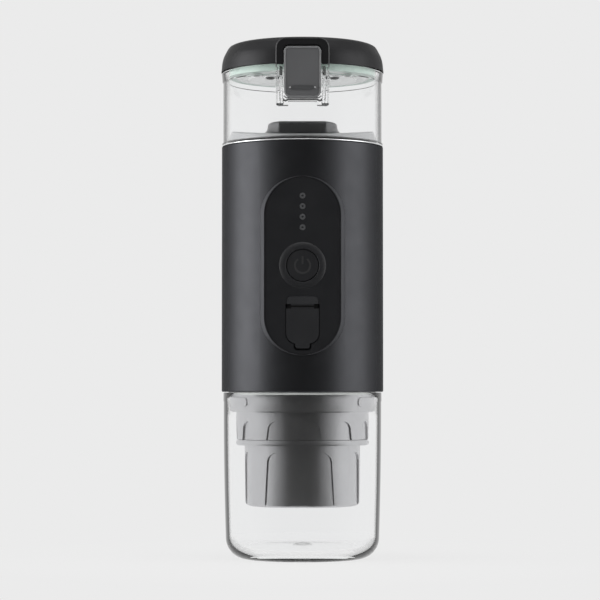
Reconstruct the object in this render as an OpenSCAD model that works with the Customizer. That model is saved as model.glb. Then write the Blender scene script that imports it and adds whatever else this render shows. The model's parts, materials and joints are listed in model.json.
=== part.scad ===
// Portable espresso maker. A clear cup, a brewing unit run by a battery, and a clear
// water tank with a hinged lid stand on one axis. Sizes are in millimetres, +Z is up,
// the control panel faces -Y, and the origin is the centre of the cup's foot.

/* [Body] */
// Outer diameter of the body sleeve
body_d = 72; // [70:0.5:80]
// Height of the body sleeve
body_h = 109.2; // [108.6:0.1:130]
// Wall of the body sleeve
body_wall = 2; // [1.6:0.1:2.4]

/* [Cup] */
// Height of the cup, foot to rim
cup_h = 73.75; // [64:0.25:110]
// Wall of the cup
cup_wall = 2.2; // [1.6:0.1:2.6]
// Narrowing of the cup's radius from rim to foot
cup_taper = 1.5; // [0.5:0.1:3]
// Outer radius of the cup's bottom corner
cup_corner = 9.5; // [6:0.5:12]
// Thickness of the cup's floor
cup_floor = 3.3; // [2.4:0.1:5]

/* [Brewing parts] */
// Room between the body's outside and the coffee basket, taken up by the brewing parts
basket_room = 13.7; // [13.2:0.1:16]
// Depth of the coffee basket
basket_h = 26; // [18:0.5:30]
// Wall of the coffee basket's sheet steel
basket_wall = 0.5; // [0.4:0.1:0.8]
// Wall of the brew cap round the basket
cap_wall = 3.15; // [2.4:0.05:3.6]
// Height of the brew cap below its flange
cap_h = 27.05; // [25:0.05:30]
// Height of the brew cap's flange
cap_flange_h = 2.55; // [1.8:0.05:4]
// Bore of the brew cap's outlet
outlet_d = 7; // [4:0.5:10]
// Height of the brew ring's grip
ring_h = 11.95; // [11:0.05:15]
// Length of collar that hangs below the body sleeve
collar_drop = 9.05; // [8.6:0.05:12]
// Grip flutes on the brew ring
ring_flutes = 12; // [8:1:14]
// Grip flutes on the brew cap
cap_flutes = 8; // [5:1:10]
// Depth of the grip flutes
flute_depth = 0.6; // [0.3:0.05:1]

/* [Water tank] */
// Height of the water tank
tank_h = 33.15; // [31:0.05:60]
// Wall of the water tank
tank_wall = 2; // [1.6:0.1:2.4]
// Diameter of the inlet filter's cap
filter_d = 31; // [22:0.5:36]
// Height of the inlet filter's cap above the body sleeve
filter_rise = 10.7; // [8.5:0.05:13]
// Height of the plinth's sides above the body sleeve
plinth_rise = 7.15; // [6.5:0.05:8]
// Fall of the plinth from its sides to its front and rear edges
plinth_fall = 4.6; // [3:0.1:4.8]

/* [Lid] */
// Height of the lid
lid_h = 13.2; // [12:0.1:18]
// Wall of the lid
lid_wall = 2.4; // [1.8:0.1:2.8]
// Width of the pad on the front of the lid
pad_w = 23.1; // [21:0.1:26]
// Width of the latch
latch_w = 15.9; // [12:0.1:17]
// Height of the latch
latch_h = 22.25; // [20:0.05:24]
// Thickness of the latch
latch_t = 2.2; // [1.6:0.1:2.4]
// Diameter of the latch pin
latch_pin_d = 1.2; // [1:0.1:1.4]
// Diameter of the hinge pin
hinge_pin_d = 1.6; // [1.2:0.1:2]

/* [Control panel] */
// Width of the control panel
panel_w = 33; // [31:0.5:36]
// Height of the control panel
panel_h = 77.2; // [75:0.1:82]
// Width of the bevel round the control panel
bevel_w = 2; // [1:0.1:3]
// Diameter of the power button
button_d = 14; // [11:0.1:15]
// Diameter of the raised ring round the power button
bezel_d = 19.7; // [17.5:0.1:22]
// Travel of the power button
button_travel = 0.6; // [0.3:0.1:0.6]
// Diameter of each indicator light
led_d = 2.6; // [2:0.1:3.2]
// Spacing of the indicator lights
led_pitch = 4.57; // [3.8:0.01:5]
// Number of indicator lights
led_count = 4; // [3:1:5]
// Width of the port cover's flap
flap_w = 14.2; // [13:0.1:16]
// Height of the port cover's flap
flap_h = 15.1; // [13:0.1:16]
// Thickness of the port cover's flap
flap_t = 1.3; // [0.9:0.1:1.4]

/* [Inside the body] */
// Diameter of each battery cell
cell_d = 18.4; // [16:0.1:18.6]
// Length of each battery cell
cell_l = 65; // [60:0.5:65]
// Distance from the body's inner wall to the centres of the cells
cell_inset = 12; // [11.8:0.1:13]
// Length of the pump's motor
motor_l = 34; // [28:0.5:36]
// Clearance between the pump and the cells beside it
pump_gap = 0.8; // [0.6:0.1:3]
// Diameter of the boiler
boiler_d = 38; // [32:0.5:42]
// Height of the boiler
boiler_h = 25; // [20:0.5:25]
// Width of the control board
board_w = 28; // [26:0.5:29]
// Height of the control board
board_h = 66; // [64:0.5:68]

/* [Hidden] */
$fn = 96;

// Clearances: assembled pieces, turning or sliding pieces, facing bodies, a pin in its bore
fit_gap = 0.1;
slip_gap = 0.2;
seat_gap = 0.3;
pin_gap = 0.05;
// How far a cut runs past the face it opens
over = 1;

// Radii of the cup and the body
body_r = body_d / 2;
shell_r = body_r - body_wall;
inner_r = shell_r - fit_gap;
cup_inset = 0.4;
cup_r = body_r - cup_inset;
cup_mouth_r = cup_r - cup_wall;
cup_foot_r = cup_r - cup_taper;
collar_r = cup_mouth_r - 2 * seat_gap;

// Radii of the brewing parts, from the basket outwards
basket_r = body_r - basket_room;
cap_bore_r = basket_r + seat_gap;
cap_r = cap_bore_r + cap_wall;
cap_draft = 0.4;
cap_neck_wall = 1.3;
cap_neck_r = cap_bore_r + cap_neck_wall;
cap_lug_r = cap_neck_r + 1.1;
rim_r = cap_neck_r - seat_gap;
ring_bore_r = cap_neck_r + slip_gap;
ring_groove_r = cap_lug_r + slip_gap;
ring_neck_wall = 2.3;
ring_neck_r = ring_groove_r + ring_neck_wall;
ring_lug_r = ring_neck_r + 1.5;
ring_r = ring_lug_r + 0.6;
ring_draft = 0.2;
collar_bore_r = ring_neck_r + seat_gap;
collar_groove_r = ring_lug_r + seat_gap;

// Heights of the body and of what hangs below it
body_z0 = cup_h + seat_gap;
body_z1 = body_z0 + body_h;
collar_z0 = body_z0 - collar_drop;
ring_z0 = collar_z0 - ring_h;
cap_shoulder_z = ring_z0 - cap_flange_h;
cap_z0 = cap_shoulder_z - cap_h;
bulkhead_z0 = body_z0 - 2;
bulkhead_z1 = body_z0 + 3;
cap_neck_z1 = ring_z0 + 6;
basket_z0 = cap_neck_z1 - basket_h;
rim_z1 = cap_neck_z1 + basket_wall;
gasket_h = 1.5;
gasket_z0 = rim_z1 + seat_gap;
gasket_z1 = gasket_z0 + gasket_h;
ring_neck_z1 = bulkhead_z0 - 0.9;

// Bayonet of the brew ring in the collar, and of the brew cap in the brew ring
lug_count = 3;
ring_lug_deg = 22;
ring_lug_h = 2.4;
ring_lug_z0 = collar_z0 + 2.3;
ring_twist_deg = 40;
cap_lug_deg = 24;
cap_lug_h = 2.4;
cap_lug_z0 = ring_z0 + 1.9;
cap_twist_deg = 45;
entry_play_deg = 2;

// Grip pads on the collar, which hold the cup
pad_count = 3;
grip_pad_w = 15.8;
grip_pad_h = 3.9;
grip_pad_z = body_z0 - 4.55;

// Grip flutes, turned as the photograph shows them
ring_flute_turn = 7;
ring_flute_r = 3.8;
ring_flute_foot = 4.65;
ring_flute_z1 = collar_z0 - 3.9;
cap_flute_turn = 19;
cap_flute_r = 4.7;
cap_flute_foot = 6.2;
cap_flute_z1 = cap_shoulder_z - 3;

// Brew head, shower screen and its screw
head_r = rim_r;
gasket_w = 2.8;
spigot_r = head_r - gasket_w - fit_gap;
screen_t = 0.6;
head_neck_r = 5;
head_bore_r = 2;
head_screw_r = 1.5;
head_screw_ring = 12;
screw_head_r = 2.75;
screw_head_h = 2;
hole_r = 0.7;
hole_pitch = 4.6;

// Points of an arc round [x, y], from angle a0 to a1 in n steps
function arc(x, y, r, a0, a1, n = 6) = [
    for (i = [0:n]) let (a = a0 + (a1 - a0) * i / n) [x + r * cos(a), y + r * sin(a)]
];

// Round disc from z0 to z1
module disc(r, z0, z1) {
    translate([0, 0, z0]) cylinder(r = r, h = z1 - z0);
}

// Round ring of rectangular section
module ring(r0, r1, z0, z1) {
    difference() {
        disc(r1, z0, z1);
        disc(r0, z0 - over, z1 + over);
    }
}

// Part of a ring, centred on angle a from the front, and deg wide
module sector(r0, r1, z0, z1, a, deg) {
    rotate([0, 0, a - 90 - deg / 2])
        rotate_extrude(angle = deg)
            translate([r0, z0]) square([r1 - r0, z1 - z0]);
}

// Rod of radius r along X or Y that starts at p
module rod_x(p, r, l) {
    translate(p) rotate([0, 90, 0]) cylinder(r = r, h = l);
}
module rod_y(p, r, l) {
    translate(p) rotate([-90, 0, 0]) cylinder(r = r, h = l);
}

// Rectangle with round corners, from [x0, y0] to [x1, y1]
module round_rect(x0, y0, x1, y1, r) {
    translate([x0 + r, y0]) square([x1 - x0 - 2 * r, y1 - y0]);
    translate([x0, y0 + r]) square([x1 - x0, y1 - y0 - 2 * r]);
    for (x = [x0 + r, x1 - r], y = [y0 + r, y1 - r]) translate([x, y]) circle(r = r);
}

// Upright slot outline: half width a, overall height h, centred at height z
module slot(a, h, z) {
    translate([-a, z - h / 2 + a]) square([2 * a, h - 2 * a]);
    for (s = [-1, 1]) translate([0, z + s * (h / 2 - a)]) circle(r = a);
}

// Outline drawn as seen from the front, pushed from depth y1 back to depth y0
module front_prism(y1, y0) {
    translate([0, y0, 0]) rotate([90, 0, 0]) linear_extrude(height = y0 - y1) children();
}

// Round-topped grip flutes on a cone of radius r1 at z0 and r2 at z1
module flutes(count, turn, top_r, foot, z_top, z0, z1, r1, r2) {
    difference() {
        for (i = [0:count - 1]) rotate([0, 0, turn + i * 360 / count])
            front_prism(-r2 - over, -r1 / 2) {
                translate([0, z_top - top_r]) circle(r = top_r);
                polygon([
                    [-foot, z0 - over], [foot, z0 - over],
                    [top_r, z_top - top_r], [-top_r, z_top - top_r]
                ]);
            }
        translate([0, 0, z0]) cylinder(r1 = r1 - flute_depth, r2 = r2 - flute_depth, h = z1 - z0);
    }
}

// Round pattern of drain holes, rings of 6, 12, 18 and so on
module drain_holes(rings, z0, z1) {
    disc(hole_r, z0 - over, z1 + over);
    for (k = [1:rings], i = [0:6 * k - 1])
        rotate([0, 0, i * 60 / k]) translate([k * hole_pitch, 0, 0])
            disc(hole_r, z0 - over, z1 + over);
}

// Clear drinking cup, open at the top
module cup() {
    recess_r = cup_foot_r - cup_corner - 1;
    recess_h = 0.6;
    rim_h = 3.6;
    step_z = cup_h - rim_h - 0.6;
    belly = cup_taper - 0.5;
    inner_corner = cup_corner - cup_wall;
    floor_r = cup_foot_r - cup_wall - inner_corner;
    wall_z0 = cup_floor + inner_corner;
    edge = 0.3;
    color([0.9, 0.93, 0.94, 0.35]) {
        rotate_extrude() polygon(concat(
            [[0, recess_h], [recess_r - recess_h, recess_h], [recess_r, 0]],
            arc(cup_foot_r - cup_corner, cup_corner, cup_corner, -90, 0, 10),
            [for (i = [1:4]) [
                cup_foot_r + belly * (1 - pow(1 - i / 4, 2)),
                cup_corner + (step_z - cup_corner) * i / 4
            ]],
            [[cup_r, cup_h - rim_h], [cup_r, cup_h - edge], [cup_r - edge, cup_h]],
            [[cup_mouth_r + edge, cup_h], [cup_mouth_r, cup_h - edge]],
            [[cup_mouth_r, step_z - 3], [cup_mouth_r - 0.5, step_z - 5]],
            [for (i = [3:-1:1]) [
                cup_foot_r - cup_wall + belly * (1 - pow(1 - i / 4, 2)),
                wall_z0 + (step_z - wall_z0) * i / 4
            ]],
            arc(floor_r, wall_z0, inner_corner, 0, -90, 10),
            [[0, cup_floor]]
        ));
        ring(3.6, 4.1, cup_floor - 0.1, cup_floor + 0.25);
    }
}

// Dark collar under the body: bulkhead, brew ring socket and cup spigot
module bottom_collar() {
    edge = 0.5;
    color([0.2, 0.2, 0.21]) {
        difference() {
            rotate_extrude() polygon([
                [collar_bore_r, collar_z0], [collar_r - edge, collar_z0],
                [collar_r, collar_z0 + edge], [collar_r, seal_z0], [seal_r0, seal_z0],
                [seal_r0, seal_z1], [collar_r, seal_z1], [collar_r, body_z0],
                [inner_r, body_z0], [inner_r, bulkhead_z1],
                [head_neck_r + fit_gap, bulkhead_z1], [head_neck_r + fit_gap, bulkhead_z0],
                [collar_bore_r, bulkhead_z0]
            ]);
            disc(collar_groove_r, ring_lug_z0 - seat_gap, ring_lug_z0 + ring_lug_h + seat_gap);
            for (i = [0:lug_count - 1])
                sector(collar_bore_r - over, collar_groove_r - pin_gap, collar_z0 - over, ring_lug_z0,
                    180 + ring_twist_deg + i * 360 / lug_count,
                    ring_lug_deg + 2 * entry_play_deg);
            for (i = [0:2]) rotate([0, 0, i * 120]) translate([0, head_screw_ring, 0])
                disc(head_screw_r + fit_gap, bulkhead_z0 - over, bulkhead_z1 + over);
        }
        intersection() {
            ring(collar_r - edge, cup_mouth_r - slip_gap, collar_z0, body_z0);
            for (i = [0:pad_count - 1]) rotate([0, 0, 60 + i * 360 / pad_count])
                front_prism(-body_r, -collar_r / 2)
                    round_rect(-grip_pad_w / 2, grip_pad_z - grip_pad_h / 2,
                        grip_pad_w / 2, grip_pad_z + grip_pad_h / 2, grip_pad_h / 2 - 0.2);
        }
    }
}

// Seal ring between the collar and the cup's mouth
seal_z0 = body_z0 - 1.45;
seal_z1 = body_z0 - 0.25;
seal_r0 = collar_r - 1;
module cup_seal() {
    color([0.12, 0.12, 0.12])
        ring(seal_r0, cup_mouth_r - seat_gap, seal_z0, seal_z1);
}

// Ring that turns in the collar and carries the brew cap
module brew_ring() {
    color([0.22, 0.22, 0.23]) {
        difference() {
            rotate_extrude() polygon([
                [ring_bore_r, ring_z0], [ring_r - ring_draft, ring_z0],
                [ring_r, collar_z0 - slip_gap], [ring_neck_r, collar_z0 - slip_gap],
                [ring_neck_r, ring_neck_z1], [ring_groove_r, ring_neck_z1],
                [ring_groove_r, cap_neck_z1], [ring_bore_r, cap_neck_z1]
            ]);
            disc(ring_groove_r, cap_lug_z0 - seat_gap, cap_lug_z0 + cap_lug_h + seat_gap);
            for (i = [0:lug_count - 1])
                sector(ring_bore_r - over, ring_groove_r - pin_gap, ring_z0 - over, cap_lug_z0,
                    180 + cap_twist_deg + i * 360 / lug_count,
                    cap_lug_deg + 2 * entry_play_deg);
            ring(ring_seal_r0, ring_seal_r1, ring_seal_z0, ring_neck_z1 + over);
            flutes(ring_flutes, ring_flute_turn, ring_flute_r, ring_flute_foot, ring_flute_z1,
                ring_z0, collar_z0, ring_r - ring_draft, ring_r);
        }
        for (i = [0:lug_count - 1])
            sector(ring_neck_r - 0.2, ring_lug_r, ring_lug_z0, ring_lug_z0 + ring_lug_h,
                180 + i * 360 / lug_count, ring_lug_deg);
    }
}

// Face seal on top of the brew ring
ring_seal_r0 = ring_groove_r + 0.6;
ring_seal_r1 = ring_neck_r - 0.5;
ring_seal_z0 = ring_neck_z1 - 0.6;
module brew_ring_seal() {
    color([0.15, 0.15, 0.15])
        ring(ring_seal_r0, ring_seal_r1, ring_seal_z0, bulkhead_z0 - seat_gap);
}

// Cup-shaped cap that holds the basket and ends in the outlet
module brew_cap() {
    foot_r = cap_r - cap_draft;
    corner_w = 3;
    corner_h = 2;
    flange_edge = 0.7;
    flange_z1 = ring_z0 - slip_gap;
    floor_t = 2.6;
    outlet_r = outlet_d / 2;
    color([0.2, 0.2, 0.21]) {
        difference() {
            rotate_extrude() polygon(concat(
                [[outlet_r, cap_z0 + 0.6], [outlet_r + 0.6, cap_z0]],
                [for (a = [-90:15:0]) [
                    foot_r - corner_w + corner_w * cos(a), cap_z0 + corner_h + corner_h * sin(a)
                ]],
                [[cap_r, cap_shoulder_z], [ring_r - flange_edge, cap_shoulder_z]],
                [[ring_r, cap_shoulder_z + flange_edge], [ring_r, flange_z1 - flange_edge]],
                [[ring_r - flange_edge, flange_z1], [cap_neck_r, flange_z1]],
                [[cap_neck_r, cap_neck_z1], [cap_bore_r, cap_neck_z1]],
                [[cap_bore_r, cap_z0 + floor_t + 2.5], [cap_bore_r - 2, cap_z0 + floor_t + 0.8]],
                [[outlet_r, cap_z0 + floor_t]]
            ));
            flutes(cap_flutes, cap_flute_turn, cap_flute_r, cap_flute_foot, cap_flute_z1,
                cap_z0, cap_shoulder_z, foot_r, cap_r);
        }
        for (i = [0:lug_count - 1])
            sector(cap_neck_r - 0.2, cap_lug_r, cap_lug_z0, cap_lug_z0 + cap_lug_h,
                180 + i * 360 / lug_count, cap_lug_deg);
    }
}

// Steel basket for the ground coffee, hung by its rim on the brew cap's neck
module coffee_basket() {
    lip_w = 1.6;
    color([0.75, 0.76, 0.78])
        rotate_extrude() polygon([
            [basket_r - basket_wall - lip_w, basket_z0], [basket_r, basket_z0],
            [basket_r, cap_neck_z1], [rim_r, cap_neck_z1], [rim_r, rim_z1],
            [basket_r - basket_wall, rim_z1], [basket_r - basket_wall, basket_z0 + basket_wall],
            [basket_r - basket_wall - lip_w, basket_z0 + basket_wall]
        ]);
}

// Perforated disc that lies on the basket's lip
module basket_mesh() {
    z0 = basket_z0 + basket_wall;
    mesh_r = basket_r - basket_wall - fit_gap;
    color([0.78, 0.79, 0.8])
        difference() {
            disc(mesh_r, z0, z0 + basket_wall);
            drain_holes(floor((mesh_r - 2) / hole_pitch), z0, z0 + basket_wall);
        }
}

// Brew head: brings the hot water from the boiler down to the shower screen
module brew_head() {
    color([0.85, 0.84, 0.8])
        difference() {
            union() {
                disc(head_r, gasket_z1, bulkhead_z0);
                disc(spigot_r, gasket_z0 + screen_t, gasket_z1);
                disc(head_neck_r, bulkhead_z0 - over, boiler_z0 + 2.9);
            }
            disc(head_bore_r, gasket_z1 + 5, boiler_z0 + 2.9 + over);
            disc(spigot_r - 1.5, gasket_z0 + screen_t - over, gasket_z0 + screen_t + 0.7);
            for (i = [0:5]) rotate([0, 0, i * 60]) translate([0, 0, gasket_z1 + 6])
                rotate([0, 130, 0]) cylinder(r = 0.9, h = 10.5);
            disc(head_screw_r + 0.02, gasket_z0, gasket_z1 + 4);
            for (i = [0:2]) rotate([0, 0, i * 120]) translate([0, head_screw_ring, 0])
                disc(head_screw_r + 0.02, bulkhead_z0 - 5.5, bulkhead_z0 + over);
        }
}

// Screws that hold the brew head under the bulkhead
module brew_head_screws() {
    color([0.6, 0.6, 0.62])
        for (i = [0:2]) rotate([0, 0, i * 120]) translate([0, head_screw_ring, 0])
            difference() {
                union() {
                    disc(head_screw_r, bulkhead_z0 - 5, bulkhead_z1 + 0.5);
                    disc(screw_head_r, bulkhead_z1, bulkhead_z1 + screw_head_h);
                }
                disc(1.2, bulkhead_z1 + 0.9, bulkhead_z1 + screw_head_h + over);
            }
}

// Silicone gasket that seals the brew head on the basket's rim
module brew_gasket() {
    color([0.8, 0.3, 0.2])
        ring(spigot_r + fit_gap, head_r, gasket_z0, gasket_z1);
}

// Perforated screen that spreads the water over the coffee
module shower_screen() {
    z1 = gasket_z0 + screen_t;
    color([0.75, 0.76, 0.78])
        difference() {
            disc(spigot_r - seat_gap, gasket_z0, z1);
            disc(head_screw_r + fit_gap, gasket_z0 - over, z1 + over);
            for (k = [1:floor((spigot_r - 3) / hole_pitch)], i = [0:6 * k - 1])
                rotate([0, 0, i * 60 / k]) translate([k * hole_pitch, 0, 0])
                    disc(hole_r, gasket_z0 - over, z1 + over);
        }
}

// Screw in the middle of the shower screen
module shower_screw() {
    head_h = 1.2;
    color([0.6, 0.6, 0.62])
        difference() {
            union() {
                disc(head_screw_r, gasket_z0 - 0.5, gasket_z1 + 3.8);
                disc(screw_head_r, gasket_z0 - head_h, gasket_z0);
            }
            for (a = [0, 90]) rotate([0, 0, a])
                translate([-1.7, -0.3, gasket_z0 - head_h - over]) cube([3.4, 0.6, over + 0.6]);
        }
}

// Control panel: a flat plate in a flat frame that stands out of the round sleeve
panel_z = body_z0 + body_h / 2;
frame_proud = 0.15;
frame_lip = 0.25;
frame_y = -(body_r + frame_proud);
panel_sink = 0.25;
panel_y = frame_y + panel_sink;
panel_back_r = inner_r - 1.5;
panel_flange = 2;
panel_skirt = 1.8;
led_z1 = panel_z + (panel_h / 2 - 8.35);
button_r = button_d / 2;
bezel_h = 0.45;
bezel_y = panel_y - bezel_h;
button_y = bezel_y + 0.1;
button_flange_r = button_r + 1;
button_seat_y = -panel_back_r - 0.5;
button_flange_t = 0.9;
port_z = panel_z - (panel_h / 2 - 12.95);
port_w = 8.94;
port_h = 3.26;
flap_z1 = port_z + 7;
flap_z0 = flap_z1 - flap_h;
flap_corner = 4.5;
flap_back_y = panel_y + flap_t;
tab_w = 6.4;
tab_z0 = flap_z0 - 2.1;
hinge_groove_h = 2;
anchor_z0 = flap_z1 + hinge_groove_h;
anchor_h = 3.3;
flap_axis_z = flap_z1 + hinge_groove_h / 2;
flap_axis_y = panel_y + flap_t / 2;
web_t = 0.5;
web_w = 10;
web_gap = 0.35;

// Control board behind the panel, carried on four posts
board_t = 1.6;
board_y = -(panel_back_r - 4.4);
board_z0 = panel_z - board_h / 2;
post_x = 11;
post_dz = board_h / 2 - 3;
post_r = 2.2;
board_screw_r = 0.8;
switch_h = 2.6;
switch_w = 6;

// Decks, cells, motor and pump, which hang from the top of the body
cover_z0 = body_z1 - 2.6;
deck_t = 2;
frame_r = shell_r - seat_gap;
rail_w = 8;
rail_t = 2.1;
top_deck_z0 = cover_z0 - deck_t;
cell_room = 1.7;
deck_z1 = top_deck_z0 - cell_room - cell_l;
deck_z0 = deck_z1 - 2.5;
cell_r = cell_d / 2;
cell_ring = shell_r - cell_inset;
cell_places = [[-0.886, 0.4545] * cell_ring, [0, cell_ring], [0.886, 0.4545] * cell_ring];
tab_t = 0.3;
axis_y = -4;
damper_h = 2;
motor_z1 = top_deck_z0 - damper_h;
motor_z0 = motor_z1 - motor_l;
pump_r = norm(cell_places[0] - [0, axis_y]) - cell_r - pump_gap;
motor_step = 2;
motor_r = pump_r - motor_step;
pump_bore_r = pump_r - 5;
pump_bore_z0 = motor_z0 - 16;
shaft_r = 1.15;
shaft_bore_r = shaft_r + pin_gap;
motor_boss_h = 2;

// Boiler, which stands on the bulkhead
boiler_r = boiler_d / 2;
insulator_h = 3;
boiler_end_h = 4;
boiler_z0 = bulkhead_z1 + insulator_h;
boiler_z1 = boiler_z0 + boiler_h;
valve_h = 3.2;
valve_z1 = boiler_z1 + valve_h;
pipe_r = 2;

// Hose from the tank's floor to the pump
hose_x = -(shell_r - 13.5);
hose_y = -6;
hose_r = 2.6;
hose_bore_r = 1.6;
hose_bend = 4;
hose_z0 = deck_z1 + 8;
nozzle_z0 = top_deck_z0 - 5.5;

// Upright frame for the panel, with a bevel that is bevel_w wide beside the panel
module panel_boss() {
    a0 = panel_w / 2 + frame_lip;
    run = -frame_y - sqrt(pow(body_r, 2) - pow(panel_w / 2 + bevel_w, 2));
    depth = run + body_wall / 4;
    a1 = a0 + (bevel_w - frame_lip) * depth / run;
    straight = (panel_h - panel_w) / 2;
    for (s = [-1, 1]) translate([0, frame_y, panel_z + s * straight]) rotate([-90, 0, 0])
        cylinder(r1 = a0, r2 = a1, h = depth);
    translate([0, 0, panel_z - straight]) linear_extrude(height = 2 * straight)
        polygon([[-a0, frame_y], [a0, frame_y], [a1, frame_y + depth], [-a1, frame_y + depth]]);
}

// Sleeve that forms the body, with the panel's frame and window
module body_shell() {
    edge = 0.4;
    color([0.2, 0.2, 0.21])
        difference() {
            union() {
                rotate_extrude() polygon([
                    [shell_r, body_z0], [body_r - edge, body_z0], [body_r, body_z0 + edge],
                    [body_r, body_z1 - edge], [body_r - edge, body_z1], [shell_r, body_z1]
                ]);
                difference() {
                    panel_boss();
                    disc(body_r - body_wall / 2, body_z0, body_z1);
                }
            }
            front_prism(frame_y - over, -shell_r / 2) slot(panel_w / 2, panel_h, panel_z);
        }
}

// Front outline of the port cover's flap with its tab, grown by g
module flap_outline(g) {
    half = flap_w / 2 + g;
    translate([-half, flap_z0 + flap_corner])
        square([2 * half, flap_z1 - flap_z0 - flap_corner + g]);
    translate([-half + flap_corner, flap_z0 - g])
        square([2 * (half - flap_corner), flap_corner + 2 * g]);
    for (s = [-1, 1]) translate([s * (half - flap_corner), flap_z0 + flap_corner - g])
        circle(r = flap_corner);
    round_rect(-tab_w / 2 - g, tab_z0 - g, tab_w / 2 + g, flap_z0 + 3, 1.2);
}

// Front outline of the port cover's anchor strip, grown by g
module anchor_outline(g) {
    half = flap_w / 2 - 0.3 + g;
    corner = 2;
    z1 = anchor_z0 + anchor_h + g;
    intersection() {
        round_rect(-half, anchor_z0 - g - 2 * corner, half, z1, corner);
        translate([-half, anchor_z0 - g]) square([2 * half, z1 - anchor_z0 + g]);
    }
}

// Front outline of the charging port's shell, grown by g
module port_outline(g) {
    round_rect(-port_w / 2 - g, port_z - port_h / 2 - g, port_w / 2 + g, port_z + port_h / 2 + g,
        port_h / 2 - 0.1);
}

// Solid behind the panel's face with the given front outline, from radius r0 to r1
module on_panel(r0, r1) {
    intersection() {
        ring(r0, r1, body_z0, body_z1);
        front_prism(panel_y, -panel_back_r / 2) children();
    }
}

// Inlaid control panel with its holes, button ring, cover recess and board posts
module control_panel() {
    post_y = -panel_back_r - 0.1;
    color([0.13, 0.13, 0.135])
        difference() {
            union() {
                difference() {
                    union() {
                        on_panel(panel_back_r, body_r + over)
                            slot(panel_w / 2 - fit_gap, panel_h - 2 * fit_gap, panel_z);
                        on_panel(panel_back_r, inner_r)
                            slot(panel_w / 2 + panel_flange, panel_h + 2 * panel_flange, panel_z);
                    }
                    front_prism(-panel_back_r, -panel_back_r / 2 + over)
                        slot(panel_w / 2 - panel_skirt, panel_h - 2 * panel_skirt, panel_z);
                }
                translate([0, bezel_y, panel_z]) rotate([-90, 0, 0])
                    cylinder(r1 = button_r + 0.35, r2 = bezel_d / 2, h = bezel_h + 0.1);
                for (x = [-post_x, post_x], s = [-1, 1])
                    rod_y([x, post_y, panel_z + s * post_dz], post_r, board_y - post_y);
            }
            for (i = [0:led_count - 1])
                rod_y([0, frame_y - over, led_z1 - i * led_pitch], led_d / 2, body_r / 2);
            rod_y([0, bezel_y - over, panel_z], button_r + fit_gap, body_r / 3);
            rod_y([0, button_seat_y, panel_z], button_flange_r + seat_gap, body_r / 3);
            front_prism(frame_y - over, flap_back_y + seat_gap) {
                flap_outline(seat_gap);
                anchor_outline(fit_gap);
                translate([-flap_w / 2 - seat_gap, flap_z1])
                    square([flap_w + 2 * seat_gap, hinge_groove_h]);
                round_rect(-tab_w / 2 - 0.6, tab_z0 - 0.9, tab_w / 2 + 0.6, flap_z0 + 2, 1.5);
            }
            front_prism(frame_y - over, -panel_back_r / 2) port_outline(seat_gap);
            for (x = [-4, 4])
                rod_y([x, panel_y, anchor_z0 + anchor_h / 2], 1, 5);
            for (x = [-post_x, post_x], s = [-1, 1])
                rod_y([x, board_y - 3, panel_z + s * post_dz], board_screw_r + 0.02, 3 + over);
        }
}

// Clear light guide: a strip on the back of the panel with one pin for each light
module led_light_guide() {
    strip_y = -panel_back_r + slip_gap;
    strip_t = 1;
    half_w = 2.2;
    color([0.75, 0.77, 0.78]) {
        for (i = [0:led_count - 1])
            rod_y([0, panel_y + 0.05, led_z1 - i * led_pitch], led_d / 2 - pin_gap,
                strip_y - panel_y);
        front_prism(strip_y, strip_y + strip_t)
            round_rect(-half_w, led_z1 - (led_count - 1) * led_pitch - half_w,
                half_w, led_z1 + half_w, 1);
    }
}

// Upper half of the port cover, fixed in the panel by two pegs
module port_cover_anchor() {
    color([0.15, 0.15, 0.155]) {
        front_prism(panel_y - 0.05, flap_back_y) anchor_outline(0);
        front_prism(flap_axis_y - web_t / 2, flap_axis_y + web_t / 2)
            translate([-web_w / 2, flap_axis_z + web_gap])
                square([web_w, anchor_z0 - flap_axis_z]);
        for (x = [-4, 4])
            rod_y([x, flap_back_y - 0.3, anchor_z0 + anchor_h / 2], 1 - pin_gap, 1.6);
    }
}

// Flap that closes the charging port, with a shallow plug behind it
module port_flap() {
    color([0.15, 0.15, 0.155]) {
        front_prism(panel_y, flap_back_y) flap_outline(0);
        front_prism(flap_axis_y - web_t / 2, flap_axis_y + web_t / 2)
            translate([-web_w / 2, flap_z1 - 1])
                square([web_w, 1 + hinge_groove_h / 2 - web_gap]);
        front_prism(flap_back_y - 0.3, flap_back_y + 0.6)
            round_rect(-port_w / 2 + seat_gap, port_z - port_h / 2 + seat_gap,
                port_w / 2 - seat_gap, port_z + port_h / 2 - seat_gap, 1.2);
    }
}

// Metal shell and tongue of the charging port
module usb_port() {
    wall = 0.35;
    y0 = flap_back_y + 0.9;
    color([0.7, 0.71, 0.73]) {
        difference() {
            front_prism(y0, board_y) port_outline(0);
            front_prism(y0 - over, board_y - 0.5) port_outline(-wall);
        }
        front_prism(y0 + 0.8, board_y - 0.4)
            translate([-3.35, port_z - 0.35]) square([6.7, 0.7]);
    }
}

// Power button: round key with a flange behind the panel
module power_button() {
    edge = 0.35;
    back_y = button_seat_y + fit_gap;
    color([0.14, 0.14, 0.145]) {
        translate([0, button_y, panel_z]) rotate([-90, 0, 0]) {
            cylinder(r1 = button_r - edge, r2 = button_r, h = edge);
            translate([0, 0, edge]) cylinder(r = button_r, h = back_y - button_y);
        }
        rod_y([0, back_y, panel_z], button_flange_r, button_flange_t);
    }
}

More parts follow.
